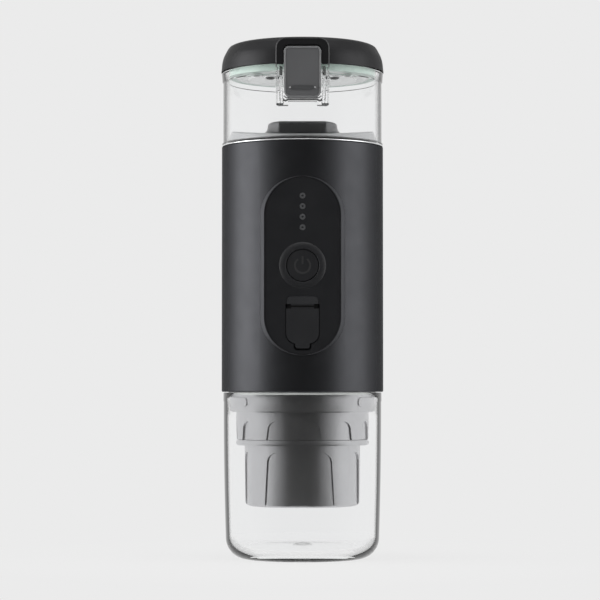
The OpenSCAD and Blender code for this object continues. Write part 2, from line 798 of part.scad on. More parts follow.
// Circuit board with its main components, carried on the panel's posts
module control_board() {
    back_y = board_y + board_t;
    chips = [[-6, -12, 9, 7, 1.4], [6, -14, 5, 5, 1.2], [-7, 4, 6, 8, 2.2], [6, 6, 8, 6, 3.2],
        [0, 20, 12, 5, 4], [8, -24, 6, 6, 2.4]];
    color([0.1, 0.35, 0.2])
        difference() {
            union() {
                front_prism(board_y, back_y)
                    round_rect(-board_w / 2, board_z0, board_w / 2, board_z0 + board_h, 1);
                for (c = chips) translate([c[0] - c[2] / 2, back_y - 0.1, panel_z + c[1] - c[3] / 2])
                    cube([c[2], c[4] + 0.1, c[3]]);
            }
            for (x = [-post_x, post_x], s = [-1, 1])
                rod_y([x, board_y - over, panel_z + s * post_dz], board_screw_r + fit_gap,
                    board_t + 2 * over);
        }
}

// Push switch on the board, behind the power button
module tact_switch() {
    tip_y = button_seat_y + fit_gap + button_flange_t + button_travel + fit_gap;
    body_y = board_y - switch_h;
    color([0.3, 0.3, 0.32]) {
        front_prism(body_y, board_y)
            round_rect(-switch_w / 2, panel_z - switch_w / 2, switch_w / 2,
                panel_z + switch_w / 2, 0.4);
        rod_y([0, tip_y, panel_z], 1.6, body_y - tip_y + 0.2);
    }
}

// Screws that hold the board on its posts
module board_screws() {
    back_y = board_y + board_t;
    color([0.6, 0.6, 0.62])
        for (x = [-post_x, post_x], s = [-1, 1]) translate([0, 0, panel_z + s * post_dz])
            difference() {
                union() {
                    rod_y([x, board_y - 2.8, 0], board_screw_r, board_t + 2.8 + 0.2);
                    rod_y([x, back_y, 0], 1.7, 1.2);
                }
                rod_y([x, back_y + 0.5, 0], 0.7, 2);
            }
}

// Frame that carries the cells, the motor and the pump: two decks and three rails
module chassis() {
    board_back = board_y + board_t + 4.6;
    color([0.25, 0.25, 0.26])
        difference() {
            union() {
                disc(frame_r, deck_z0, deck_z1);
                disc(frame_r, top_deck_z0, cover_z0);
                for (a = [-90, 90, 180]) rotate([0, 0, a]) intersection() {
                    ring(frame_r - rail_t, frame_r, bulkhead_z1, cover_z0);
                    front_prism(-body_r, -body_r / 2)
                        translate([-rail_w / 2, bulkhead_z1])
                            square([rail_w, cover_z0 - bulkhead_z1]);
                }
            }
            translate([-body_r, -body_r, deck_z0 - over])
                cube([body_d, body_r + board_back, deck_z1 - deck_z0 + 2 * over]);
            for (c = cell_places) translate([c[0], c[1], 0])
                disc(cell_r - 2, deck_z0 - over, deck_z1 + over);
            translate([0, axis_y, 0]) disc(pipe_r + seat_gap, deck_z0 - over, deck_z1 + over);
            translate([0, axis_y, 0]) disc(motor_r - 3, top_deck_z0 - over, cover_z0 + over);
            translate([hose_x, hose_y, 0]) disc(hose_r + seat_gap, top_deck_z0 - over, cover_z0 + over);
            for (p = cover_screw_places) translate([p[0], p[1], 0])
                disc(cover_screw_r + fit_gap, top_deck_z0 - over, cover_z0 + over);
        }
}

// Three round cells that stand side by side on the lower deck
module battery_cells() {
    color([0.2, 0.35, 0.6])
        for (c = cell_places) translate([c[0], c[1], 0]) {
            disc(cell_r, deck_z1, deck_z1 + cell_l - 0.8);
            disc(cell_r * 0.4, deck_z1 + cell_l - 0.8, deck_z1 + cell_l);
        }
}

// Metal strips that join the cells in series
module battery_tabs() {
    z = deck_z1 + cell_l;
    color([0.75, 0.74, 0.7])
        for (i = [0, 1]) {
            a = cell_places[i];
            b = cell_places[i + 1];
            dx = b[0] - a[0];
            dy = b[1] - a[1];
            length = norm([dx, dy]);
            translate([a[0], a[1], z]) rotate([0, 0, atan2(dy, dx)])
                translate([-2.5, -2.5, 0]) cube([length + 5, 5, tab_t]);
        }
}

// Clip that holds the three cells together at mid height
module battery_clip() {
    clip_h = 8;
    z0 = motor_z0 + 1.5;
    clip_r = shell_r - 2 * seat_gap;
    color([0.3, 0.3, 0.31])
        difference() {
            intersection() {
                disc(clip_r, z0, z0 + clip_h);
                translate([-body_r, 5, z0]) cube([body_d, body_r, clip_h]);
            }
            for (c = cell_places) translate([c[0], c[1], 0])
                disc(cell_r + fit_gap, z0 - over, z0 + clip_h + over);
            translate([0, axis_y, 0]) disc(motor_r + seat_gap, z0 - over, z0 + clip_h + over);
            translate([-rail_w / 2 - fit_gap, frame_r - rail_t - 0.6, z0 - over])
                cube([rail_w + 2 * fit_gap, 5, clip_h + 2 * over]);
        }
}

// Electric motor with its bearing boss and terminals
module pump_motor() {
    color([0.62, 0.63, 0.65])
        translate([0, axis_y, 0]) difference() {
            union() {
                disc(motor_r, motor_z0 + 1, motor_z1 - 1.5);
                disc(motor_r - 1, motor_z0, motor_z1);
                disc(4, motor_z0 - motor_boss_h, motor_z0 + 0.1);
                disc(3, motor_z1 - 0.1, motor_z1 + damper_h);
                for (x = [-7, 7]) translate([x - 1.2, -0.3, motor_z1 - 0.1]) cube([2.4, 0.6, 1.8]);
            }
            disc(shaft_bore_r, motor_z0 - motor_boss_h - over, motor_z0 + 16);
        }
}

// Pump body: valve block below, chamber for the wobble drive above, inlet nozzle at the side
module pump_head() {
    color([0.16, 0.16, 0.17])
        difference() {
            union() {
                translate([0, axis_y, 0]) {
                    disc(pump_r, deck_z1, deck_z1 + 10);
                    disc(pump_r - 0.8, deck_z1 + 10, deck_z1 + 12);
                    disc(pump_r, deck_z1 + 12, motor_z0);
                }
                rod_x([hose_x + hose_bend + 0.3, hose_y, hose_z0], hose_bore_r - 0.02,
                    -hose_x - hose_bend - pump_r + 2);
            }
            translate([0, axis_y, 0]) {
                disc(pump_bore_r, pump_bore_z0, motor_z0 + over);
                disc(shaft_bore_r, pump_bore_z0 - 4, pump_bore_z0 + over);
                disc(0.8, deck_z1 - over, deck_z1 + 6);
            }
            rod_x([hose_x, hose_y, hose_z0], 0.8, -hose_x - pump_r + 3);
        }
}

// Motor shaft with the eccentric that drives the pump
module pump_rotor() {
    eccentric_r = pump_bore_r - 3;
    offset_x = 1.2;
    color([0.7, 0.7, 0.72])
        translate([0, axis_y, 0]) {
            disc(shaft_r, pump_bore_z0 - 3.8, motor_z0 + 15.5);
            translate([offset_x, 0, 0]) disc(eccentric_r, pump_bore_z0 + 3, pump_bore_z0 + 9);
            disc(shaft_r + 1.5, pump_bore_z0 + 0.3, pump_bore_z0 + 3.1);
        }
}

// Rubber ring between the motor and the upper deck
module motor_damper() {
    color([0.12, 0.12, 0.12])
        translate([0, axis_y, 0]) difference() {
            ring(4.5, motor_r - 1, motor_z1, top_deck_z0);
            for (x = [-7, 7]) translate([x - 1.6, -0.7, motor_z1 - over]) cube([3.2, 1.4, 5]);
        }
}

// Aluminium boiler with its water chamber
module boiler() {
    end_h = boiler_end_h;
    waist_r = boiler_r - 1.5;
    chamber_r = boiler_r - 5;
    color([0.72, 0.73, 0.75])
        difference() {
            rotate_extrude() polygon([
                [0, boiler_z0], [boiler_r, boiler_z0], [boiler_r, boiler_z0 + end_h],
                [waist_r, boiler_z0 + end_h], [waist_r, boiler_z1 - end_h],
                [boiler_r, boiler_z1 - end_h], [boiler_r, boiler_z1], [0, boiler_z1]
            ]);
            disc(head_neck_r + fit_gap, boiler_z0 - over, boiler_z0 + 3);
            disc(head_bore_r, boiler_z0, boiler_z0 + 6);
            disc(chamber_r, boiler_z0 + 5, boiler_z1 - 3.5);
            translate([0, axis_y, 0]) disc(0.8, boiler_z1 - 5, boiler_z1 + over);
        }
}

// Ring that keeps the boiler's heat off the collar
module boiler_insulator() {
    color([0.85, 0.83, 0.78])
        ring(boiler_r - 3.4, boiler_r - 0.5, bulkhead_z1, boiler_z0);
}

// Band heater clamped round the boiler's waist
module heating_element() {
    z0 = boiler_z0 + boiler_end_h + 0.5;
    z1 = boiler_z1 - boiler_end_h - 0.5;
    r0 = boiler_r - 1.4;
    r1 = boiler_r + 0.4;
    color([0.55, 0.52, 0.45]) {
        difference() {
            ring(r0, r1, z0, z1);
            translate([-1.5, 0, z0 - over]) cube([3, body_r, z1 - z0 + 2 * over]);
        }
        for (x = [-3.5, 1.5]) translate([x, r1 - 1, z0 + 2]) cube([2, 5, z1 - z0 - 4]);
    }
}

// Safety thermostat on top of the boiler
module thermostat() {
    color([0.8, 0.79, 0.76])
        translate([9, 6, 0]) {
            disc(5, boiler_z1, boiler_z1 + 1);
            disc(4, boiler_z1 + 0.9, boiler_z1 + 3);
        }
}

// Temperature sensor on top of the boiler
module temperature_sensor() {
    color([0.6, 0.5, 0.35])
        translate([-9, 6, 0]) {
            disc(3, boiler_z1, boiler_z1 + 0.8);
            disc(1.5, boiler_z1 + 0.7, boiler_z1 + 3);
        }
}

// One-way valve at the boiler's inlet
module check_valve() {
    color([0.78, 0.65, 0.35])
        translate([0, axis_y, 0])
            ring(0.8, 3.6, boiler_z1, valve_z1);
}

// Pipe from the pump's outlet down to the one-way valve
module pressure_pipe() {
    color([0.75, 0.76, 0.78])
        translate([0, axis_y, 0])
            ring(0.8, pipe_r, valve_z1, deck_z1);
}

// Silicone hose from the nozzle under the tank to the pump's inlet
module inlet_hose() {
    color([0.85, 0.86, 0.85]) {
        translate([hose_x, hose_y, 0])
            ring(hose_bore_r, hose_r, hose_z0 + hose_bend, top_deck_z0 - 0.4);
        translate([hose_x + hose_bend, hose_y, hose_z0 + hose_bend]) rotate([90, 0, 0])
            rotate([0, 0, 180]) rotate_extrude(angle = 90) translate([hose_bend, 0])
                difference() {
                    circle(r = hose_r);
                    circle(r = hose_bore_r);
                }
        translate([hose_x + hose_bend, hose_y, hose_z0]) rotate([0, 90, 0])
            difference() {
                cylinder(r = hose_r, h = -hose_x - hose_bend - pump_r - 0.4);
                translate([0, 0, -over]) cylinder(r = hose_bore_r, h = 20);
            }
    }
}

// Tank, and the plinth on top of the body that forms its floor
tank_r = body_r - 0.6;
tank_bore_r = tank_r - tank_wall;
tank_z1 = body_z1 + tank_h;
plinth_r = tank_bore_r - fit_gap;
plinth_top_r = plinth_r - 2.1;
plinth_z1 = body_z1 + plinth_rise;
plinth_edge_z = body_z1 + 2.2;
plinth_rim_w = 1.6;
floor_z = plinth_z1 - 2.8;
filter_r = filter_d / 2;
filter_z0 = floor_z - 1.2;
filter_z1 = body_z1 + filter_rise;
filter_wall = 1.8;
filter_edge = 1.3;
filter_flat = filter_r - 3.9;
filter_foot_h = 1;
filter_flare = min(4, filter_z1 - floor_z - filter_foot_h - filter_edge);
dish_r = filter_r - 3.4;
dish_z = filter_z0 - 0.5;
gallery_r = 1;
gallery_z = dish_z - 2;
tank_seal_z0 = body_z1 + 0.4;
tank_seal_h = 1.1;
cover_screw_r = 1.5;
cover_screw_places = [for (p = [[0.588, -0.5], [-0.588, -0.5], [0.353, 0.779]]) p * shell_r];

// Lid, hinge and latch
lid_z0 = tank_z1 + seat_gap;
lid_r = body_r + 0.3;
lid_bore_r = lid_r - lid_wall;
lid_seal_w = 3.4;
hinge_y = body_r + 0.9;
hinge_z = tank_z1 - 1.2;
hinge_r = 2.5;
knuckle_w = 8;
knuckle_gap = 0.3;
hinge_x = knuckle_w / 2 + knuckle_gap + 4;
hinge_pin_r = hinge_pin_d / 2;
pad_y = -body_r - 3.2;
pad_r = 4.6;
pad_z0 = lid_z0 - 0.9;
pad_z1 = lid_z0 + 10.55;
pocket_r = 2.2;
pocket_half = latch_w / 2 + seat_gap;
pocket_y = pad_y + 3.9;
latch_half = latch_w / 2;
latch_y = pad_y - 0.2;
latch_pivot_y = latch_y + 1.4;
latch_pivot_z = lid_z0 + 4.6;
latch_z1 = latch_pivot_z + 2.15;
latch_z0 = latch_z1 - latch_h;
pocket_z1 = latch_z1 + 0.6;
latch_pin_r = latch_pin_d / 2;
frame_z0 = latch_z0 - 3.3;
frame_bar = 2.7;
frame_web = 1;
frame_foot_x = pocket_half - 2;
catch_z = latch_z0 + 2.8;
catch_half = 5;

// Black cover that closes the body and rises into the tank as a crowned plinth
module top_cover() {
    boss_r = 3.5;
    pocket_top = gallery_z - gallery_r - 0.6;
    fall = plinth_fall / plinth_top_r;
    color([0.13, 0.13, 0.135])
        difference() {
            union() {
                intersection() {
                    rotate_extrude() polygon([
                        [0, cover_z0], [inner_r, cover_z0], [inner_r, body_z1],
                        [plinth_r, body_z1], [plinth_r, plinth_edge_z],
                        [plinth_top_r, plinth_z1 + 0.5], [0, plinth_z1 + 0.5]
                    ]);
                    rotate([90, 0, 90]) translate([0, 0, -body_r]) linear_extrude(height = body_d)
                        polygon([
                            [-body_r, cover_z0 - over], [body_r, cover_z0 - over],
                            [body_r, plinth_z1 - fall * body_r], [0, plinth_z1],
                            [-body_r, plinth_z1 - fall * body_r]
                        ]);
                }
                translate([hose_x, hose_y, 0]) disc(hose_bore_r - 0.02, nozzle_z0, cover_z0 + over);
            }
            difference() {
                disc(inner_r - 4, cover_z0 - over, pocket_top);
                translate([hose_x, hose_y, 0]) disc(boss_r, cover_z0 - 2 * over, pocket_top + over);
                for (p = cover_screw_places) translate([p[0], p[1], 0])
                    disc(boss_r, cover_z0 - 2 * over, pocket_top + over);
            }
            ring(tank_bore_r - over, tank_bore_r + over, tank_seal_z0, tank_seal_z0 + tank_seal_h);
            rotate_extrude() polygon([
                [0, floor_z], [filter_r + filter_flare + 0.4, floor_z],
                [plinth_top_r - plinth_rim_w, plinth_z1],
                [plinth_top_r - plinth_rim_w, plinth_z1 + over], [0, plinth_z1 + over]
            ]);
            disc(filter_r + fit_gap, filter_z0, floor_z + over);
            disc(dish_r, dish_z, filter_z0 + over);
            translate([0, hose_y, 0]) disc(gallery_r, gallery_z, dish_z + over);
            rod_x([hose_x, hose_y, gallery_z], gallery_r, -hose_x + 0.5);
            translate([hose_x, hose_y, 0]) disc(0.8, nozzle_z0 - over, gallery_z);
            for (p = cover_screw_places) translate([p[0], p[1], 0])
                disc(cover_screw_r + 0.02, cover_z0 - over, cover_z0 + 5);
        }
}

// Screws that hold the frame under the cover
module top_cover_screws() {
    color([0.6, 0.6, 0.62])
        for (p = cover_screw_places) translate([p[0], p[1], 0])
            difference() {
                union() {
                    disc(cover_screw_r, top_deck_z0 - 0.5, cover_z0 + 4.6);
                    disc(screw_head_r, top_deck_z0 - screw_head_h, top_deck_z0);
                }
                disc(1.2, top_deck_z0 - screw_head_h - over, top_deck_z0 - 0.9);
            }
}

// Seal ring between the plinth and the tank's wall
module tank_seal() {
    color([0.2, 0.2, 0.2])
        ring(tank_bore_r - over, tank_bore_r - pin_gap, tank_seal_z0, tank_seal_z0 + tank_seal_h);
}

// Space between two flats of half distance y, inside radius r, from z0 to z1
module between_flats(r, y, z0, z1) {
    intersection() {
        disc(r, z0, z1);
        translate([-r, -y, z0]) cube([2 * r, 2 * y, z1 - z0]);
    }
}

// Cap over the tank's outlet: round, flared at its foot, with a flat at front and rear to
// grip it by and inlet notches at its rear
module inlet_filter_cap() {
    flare_r = filter_r + filter_flare;
    color([0.14, 0.14, 0.145])
        difference() {
            union() {
                disc(filter_r, filter_z0, floor_z);
                intersection() {
                    rotate_extrude() polygon(concat(
                        [[0, floor_z], [flare_r, floor_z], [flare_r, floor_z + filter_foot_h]],
                        arc(flare_r, floor_z + filter_foot_h + filter_flare, filter_flare, 270, 180, 6),
                        arc(filter_r - filter_edge, filter_z1 - filter_edge, filter_edge, 0, 90, 5),
                        [[0, filter_z1]]
                    ));
                    between_flats(flare_r + over, filter_flat, floor_z, filter_z1 + over);
                }
            }
            disc(filter_r - filter_wall, filter_z0 - over, filter_z0 + screen_t + slip_gap);
            between_flats(filter_r - filter_wall, filter_flat - filter_wall, filter_z0,
                filter_z1 - filter_wall);
            for (i = [-2:2])
                sector(filter_flat - 2 * filter_wall, flare_r + over, floor_z,
                    filter_z1 - filter_wall + 0.1, 180 + i * 22, 8);
        }
}

// Perforated disc under the filter's cap
module inlet_filter_screen() {
    screen_r = filter_r - filter_wall - slip_gap;
    color([0.75, 0.76, 0.78])
        difference() {
            disc(screen_r, filter_z0, filter_z0 + screen_t);
            drain_holes(floor((screen_r - 2) / hole_pitch), filter_z0, filter_z0 + screen_t);
        }
}

// Clear wall of the water tank, with the latch frame and the hinge knuckles
module water_tank() {
    flange_r = body_r - 0.1;
    flange_h = 1.4;
    rim_z0 = tank_z1 - 4.1;
    rim_r0 = body_r - 0.25;
    rim_r1 = body_r + 0.1;
    edge = 0.3;
    low_r = 1.2;
    half = pad_w / 2;
    frame_z1 = pad_z0 - seat_gap;
    color([0.9, 0.93, 0.94, 0.35])
        difference() {
            union() {
                rotate_extrude() polygon([
                    [tank_bore_r, body_z1], [flange_r, body_z1], [flange_r, body_z1 + flange_h],
                    [tank_r, body_z1 + flange_h + edge], [tank_r, rim_z0 - edge],
                    [rim_r0, rim_z0], [rim_r1, tank_z1 - edge], [rim_r1 - edge, tank_z1],
                    [tank_bore_r, tank_z1]
                ]);
                difference() {
                    front_prism(pad_y, -tank_r / 2) {
                        translate([-half, frame_z0 + low_r])
                            square([2 * half, frame_z1 - frame_z0 - low_r]);
                        translate([-half + low_r, frame_z0]) square([2 * (half - low_r), low_r + 0.5]);
                        for (s = [-1, 1]) translate([s * (half - low_r), frame_z0 + low_r])
                            circle(r = low_r);
                    }
                    disc(tank_r - 0.5, frame_z0 - over, tank_z1 + over);
                    front_prism(pad_y - over, -tank_r / 2)
                        translate([-pocket_half, frame_z0 + frame_bar])
                            square([2 * pocket_half, tank_h]);
                    front_prism(pad_y - over, -tank_r / 2)
                        translate([-frame_foot_x, frame_z0 - over])
                            square([2 * frame_foot_x, frame_bar - frame_web + over]);
                }
                difference() {
                    front_prism(-body_r - 0.4, -tank_r / 2)
                        translate([-catch_half, catch_z]) square([2 * catch_half, 1.5]);
                    disc(tank_r - 0.5, frame_z0, tank_z1);
                }
                for (s = [-1, 1]) translate([s * (knuckle_w / 2 + knuckle_gap + 2), 0, 0]) {
                    rod_x([-2, hinge_y, hinge_z], hinge_r, 4);
                    translate([-2, tank_bore_r + 0.4, hinge_z - hinge_r])
                        cube([4, hinge_y - tank_bore_r - 0.4, hinge_r]);
                }
            }
            rod_x([-body_r, hinge_y, hinge_z], hinge_pin_r + 0.02, body_d);
            rod_x([-knuckle_w / 2 - 0.15, hinge_y, hinge_z], hinge_r + 0.3, knuckle_w + 0.3);
        }
}

// Pin of the lid's hinge
module hinge_pin() {
    color([0.7, 0.71, 0.73])
        rod_x([-hinge_x, hinge_y, hinge_z], hinge_pin_r, 2 * hinge_x);
}

// Black lid with the latch's pad in front and the middle hinge knuckle behind
module lid_shell() {
    half = pad_w / 2;
    h = lid_h;
    post_z0 = lid_z0 + 2.1;
    outer = [[0, 0], [0.35, 3.6], [0.6, 5], [0.95, 6.3], [1.35, 7.3], [1.8, 8.2], [2.4, 9.3],
        [2.95, 10.3], [3.6, 11.1], [4.6, 11.65], [5.7, 12]];
    color([0.13, 0.13, 0.135])
        difference() {
            union() {
                difference() {
                    rotate_extrude() polygon(concat(
                        [for (p = outer) [lid_r - p[0], lid_z0 + p[1] * h / 13.2]],
                        [for (i = [6:-1:0]) [
                            (lid_r - 7.3) * i / 6, lid_z0 + h * (1 - 0.0857 * i * i / 36)
                        ]],
                        [[0, lid_z0 + h - lid_wall], [lid_r - 7.3, lid_z0 + h - lid_wall - 1.2]],
                        [[lid_bore_r - 2.2, lid_z0 + (h - lid_wall) * 0.8]],
                        [[lid_bore_r - 0.4, lid_z0 + (h - lid_wall) * 0.55], [lid_bore_r, lid_z0]]
                    ));
                    for (s = [-1, 1])
                        rod_x([s * (knuckle_w / 2 + 2.3) - 2.3, hinge_y, hinge_z], hinge_r + 0.5, 4.6);
                }
                difference() {
                    front_prism(pad_y, -lid_bore_r + 2) {
                        translate([-half, pad_z0]) square([2 * half, pad_z1 - pad_r - pad_z0]);
                        translate([-half + pad_r, pad_z0])
                            square([2 * (half - pad_r), pad_z1 - pad_z0]);
                        for (s = [-1, 1]) translate([s * (half - pad_r), pad_z1 - pad_r])
                            circle(r = pad_r);
                    }
                    translate([0, 0, lid_z0 - over])
                        cylinder(r1 = lid_bore_r + 0.5, r2 = lid_bore_r - 1.5, h = h);
                    disc(body_r + 0.1 + seat_gap, pad_z0 - over, lid_z0);
                }
                rod_x([-knuckle_w / 2, hinge_y, hinge_z], hinge_r, knuckle_w);
                translate([-knuckle_w / 2, lid_bore_r + 0.2, lid_z0])
                    cube([knuckle_w, hinge_y + 0.6 - lid_bore_r - 0.2, 2.5]);
                for (a = [45:90:315]) rotate([0, 0, a]) translate([24, 0, 0])
                    disc(2.5, post_z0, lid_z0 + h - lid_wall);
            }
            front_prism(pad_y - over, pocket_y) {
                round_rect(-pocket_half, lid_z0, pocket_half, pocket_z1, pocket_r);
                translate([-pocket_half, pad_z0 - over])
                    square([2 * pocket_half, lid_z0 - pad_z0 + 2 * over + pocket_r]);
            }
            rod_x([-knuckle_w, hinge_y, hinge_z], hinge_pin_r + pin_gap, 2 * knuckle_w);
            rod_x([-half + 1.9, latch_pivot_y, latch_pivot_z], latch_pin_r + 0.02, 2 * half - 3.8);
        }
}

// Pale liner under the lid, with the plug that enters the tank
module lid_liner() {
    liner_z1 = lid_z0 + 2.1;
    plug_r = tank_bore_r - seat_gap - lid_seal_w - fit_gap;
    color([0.85, 0.87, 0.86])
        rotate_extrude() polygon([
            [0, tank_z1 - 3.2], [plug_r - 5.6, tank_z1 - 3.2], [plug_r - 5.2, tank_z1 - 2.4],
            [plug_r, tank_z1 - 2.4], [plug_r, lid_z0 + fit_gap],
            [lid_bore_r - 0.3, lid_z0 + fit_gap], [lid_bore_r - 0.3, liner_z1], [0, liner_z1]
        ]);
}

// Seal ring round the liner's plug
module lid_seal() {
    color([0.6, 0.75, 0.62])
        ring(tank_bore_r - seat_gap - lid_seal_w, tank_bore_r - seat_gap, tank_z1 - 2.4, lid_z0);
}

// Pin the latch turns on
module latch_pin() {
    length = pad_w - 4;
    color([0.7, 0.71, 0.73])
        rod_x([-length / 2, latch_pivot_y, latch_pivot_z], latch_pin_r, length);
}

// Latch plate with its barrel, finger rib and catch nose
module latch() {
    low_r = 2.8;
    top_r = 1.9;
    barrel_r = 1.3;
    back_y = latch_y + latch_t;
    color([0.32, 0.32, 0.33])
        difference() {
            union() {
                difference() {
                    front_prism(latch_y, back_y) {
                        translate([-latch_half, latch_z0 + low_r])
                            square([latch_w, latch_h - low_r - top_r]);
                        translate([-latch_half + low_r, latch_z0])
                            square([latch_w - 2 * low_r, latch_h / 2]);
                        translate([-latch_half + top_r, latch_z0 + latch_h / 2])
                            square([latch_w - 2 * top_r, latch_h / 2]);
                        for (s = [-1, 1]) {
                            translate([s * (latch_half - low_r), latch_z0 + low_r]) circle(r = low_r);
                            translate([s * (latch_half - top_r), latch_z1 - top_r]) circle(r = top_r);
                        }
                    }
                    translate([-latch_w, latch_pivot_y - 0.2, latch_pivot_z])
                        cube([2 * latch_w, latch_t, latch_h]);
                }
                rod_x([-latch_half, latch_pivot_y, latch_pivot_z], barrel_r, latch_w);
                rod_x([-5.3, latch_y + 0.1, latch_z0 + 4], 0.35, 10.6);
                front_prism(back_y - 0.5, -body_r - 0.5)
                    translate([-catch_half, catch_z - 1.5]) square([2 * catch_half, 1.3]);
            }
            rod_x([-latch_w, latch_pivot_y, latch_pivot_z], latch_pin_r + pin_gap, 2 * latch_w);
        }
}

cup();
body_shell();
control_panel();
led_light_guide();
port_cover_anchor();
usb_port();
control_board();
tact_switch();
board_screws();
chassis();
battery_cells();
battery_tabs();
battery_clip();
pump_motor();
pump_head();
motor_damper();
boiler();
boiler_insulator();
heating_element();
thermostat();
temperature_sensor();
check_valve();
pressure_pipe();
inlet_hose();
top_cover();
top_cover_screws();
tank_seal();
water_tank();
inlet_filter_cap();
inlet_filter_screen();
hinge_pin();
bottom_collar();
cup_seal();
brew_head();
brew_head_screws();
brew_gasket();
shower_screen();
shower_screw();
lid_shell();
lid_liner();
lid_seal();
latch_pin();
latch();
brew_ring();
brew_ring_seal();
brew_cap();
coffee_basket();
basket_mesh();
power_button();
port_flap();
pump_rotor();
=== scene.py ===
"""Looks of the portable espresso maker: materials, small pieces, camera and studio."""
import json
import math

import bmesh
import bpy
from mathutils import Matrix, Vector


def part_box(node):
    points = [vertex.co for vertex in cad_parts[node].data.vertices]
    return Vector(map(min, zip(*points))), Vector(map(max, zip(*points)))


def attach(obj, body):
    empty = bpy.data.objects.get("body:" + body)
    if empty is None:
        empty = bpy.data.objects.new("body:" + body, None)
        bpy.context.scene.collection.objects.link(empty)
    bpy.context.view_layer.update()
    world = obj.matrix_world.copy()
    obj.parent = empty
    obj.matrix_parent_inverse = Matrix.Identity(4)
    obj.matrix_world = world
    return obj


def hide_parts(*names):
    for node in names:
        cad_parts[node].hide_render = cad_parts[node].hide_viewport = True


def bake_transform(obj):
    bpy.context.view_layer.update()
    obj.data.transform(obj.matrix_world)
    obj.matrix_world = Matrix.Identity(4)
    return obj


MM = 0.001
PANEL_Y = -35.9  # front of the control panel
FLAT = (1.0, 1.0, 0.0)  # keeps a vector's share across the axis
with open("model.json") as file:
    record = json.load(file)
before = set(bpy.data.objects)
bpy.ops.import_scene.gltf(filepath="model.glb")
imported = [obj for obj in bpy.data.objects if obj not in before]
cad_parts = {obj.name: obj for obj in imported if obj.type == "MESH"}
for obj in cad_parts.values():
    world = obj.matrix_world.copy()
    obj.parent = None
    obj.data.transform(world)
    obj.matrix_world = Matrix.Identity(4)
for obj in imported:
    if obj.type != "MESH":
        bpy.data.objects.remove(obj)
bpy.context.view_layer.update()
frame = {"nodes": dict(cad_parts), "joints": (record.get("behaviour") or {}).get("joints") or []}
nodes = frame["nodes"]


# Materials

def new_material(name):
    """A material with its node tree and its Principled shader."""
    m = bpy.data.materials.new(name)
    m.use_nodes = True
    nt = m.node_tree
    return m, nt, nt.nodes["Principled BSDF"]


def add(nt, kind, **values):
    """A node with its inputs or its settings given by name."""
    node = nt.nodes.new(kind)
    for key, value in values.items():
        if key in node.inputs:
            node.inputs[key].default_value = value
        else:
            setattr(node, key, value)
    return node


def object_coords(nt):
    """The place in the object's own frame, in metres."""
    return nt.nodes.new("ShaderNodeTexCoord").outputs["Object"]


def noise(nt, coords, scale, detail=2.0):
    """Smooth noise between 0 and 1."""
    node = add(nt, "ShaderNodeTexNoise", Scale=scale, Detail=detail, Roughness=0.5)
    nt.links.new(coords, node.inputs["Vector"])
    return node.outputs["Fac"]


def ramp(nt, value, low, high, t0=0.3, t1=0.7):
    """Goes from low to high while the value goes from t0 to t1."""
    node = add(nt, "ShaderNodeMapRange", **{"From Min": t0, "From Max": t1,
                                            "To Min": low, "To Max": high})
    nt.links.new(value, node.inputs["Value"])
    return node.outputs["Result"]


def tint(nt, value, a, b):
    """Colour that goes from a to b with the value."""
    node = nt.nodes.new("ShaderNodeMix")
    node.data_type = "RGBA"
    node.inputs["A"].default_value = (*a, 1)
    node.inputs["B"].default_value = (*b, 1)
    nt.links.new(value, node.inputs["Factor"])
    return node.outputs["Result"]


def operate(nt, kind, operation, sources, **settings):
    """A Math or Vector Math node fed with sockets and constants."""
    node = add(nt, kind, operation=operation, **settings)
    for socket, source in zip(node.inputs, sources):
        if isinstance(source, (tuple, float)):
            socket.default_value = source
        else:
            nt.links.new(source, socket)
    return node


def vector_math(nt, operation, *sources):
    """Output of a Vector Math node: a number for a length or a dot product, else a vector."""
    out = "Value" if operation in ("LENGTH", "DOT_PRODUCT") else "Vector"
    return operate(nt, "ShaderNodeVectorMath", operation, sources).outputs[out]


def scalar_math(nt, operation, *sources, **settings):
    """Output of a Math node."""
    return operate(nt, "ShaderNodeMath", operation, sources, **settings).outputs["Value"]


def turned(nt, share):
    """Outer sides lean to the normal of a plain turned form, so shallow grips stay faint."""
    coords = nt.nodes.new("ShaderNodeTexCoord")
    normal = coords.outputs["Normal"]
    radial = vector_math(nt, "NORMALIZE",
                         vector_math(nt, "MULTIPLY", coords.outputs["Object"], FLAT))
    outward = vector_math(nt, "DOT_PRODUCT", normal, radial)
    upright = vector_math(nt, "LENGTH", vector_math(nt, "MULTIPLY", normal, FLAT))
    lean = nt.nodes.new("ShaderNodeMix")
    lean.data_type = "VECTOR"
    nt.links.new(scalar_math(nt, "MULTIPLY", ramp(nt, outward, 0.0, share, -0.35, -0.15),
                             ramp(nt, upright, 0.0, 1.0, 0.3, 0.7)), lean.inputs["Factor"])
    ends = [end for end in lean.inputs if end.type == "VECTOR" and end.name in ("A", "B")]
    for socket, source in zip(ends, (normal, radial)):
        nt.links.new(source, socket)
    world = add(nt, "ShaderNodeVectorTransform", vector_type="NORMAL", convert_from="OBJECT",
                convert_to="WORLD")
    nt.links.new(next(out for out in lean.outputs if out.type == "VECTOR"),
                 world.inputs["Vector"])
    return vector_math(nt, "NORMALIZE", world.outputs["Vector"])


def bump(nt, bsdf, heights, strength=0.3, normal=None):
    """heights: list of (socket, distance in metres), the finest last."""
    for height, distance in heights:
        node = add(nt, "ShaderNodeBump", Strength=strength, Distance=distance)
        nt.links.new(height, node.inputs["Height"])
        if normal is not None:
            nt.links.new(normal, node.inputs["Normal"])
        normal = node.outputs["Normal"]
    nt.links.new(normal, bsdf.inputs["Normal"])


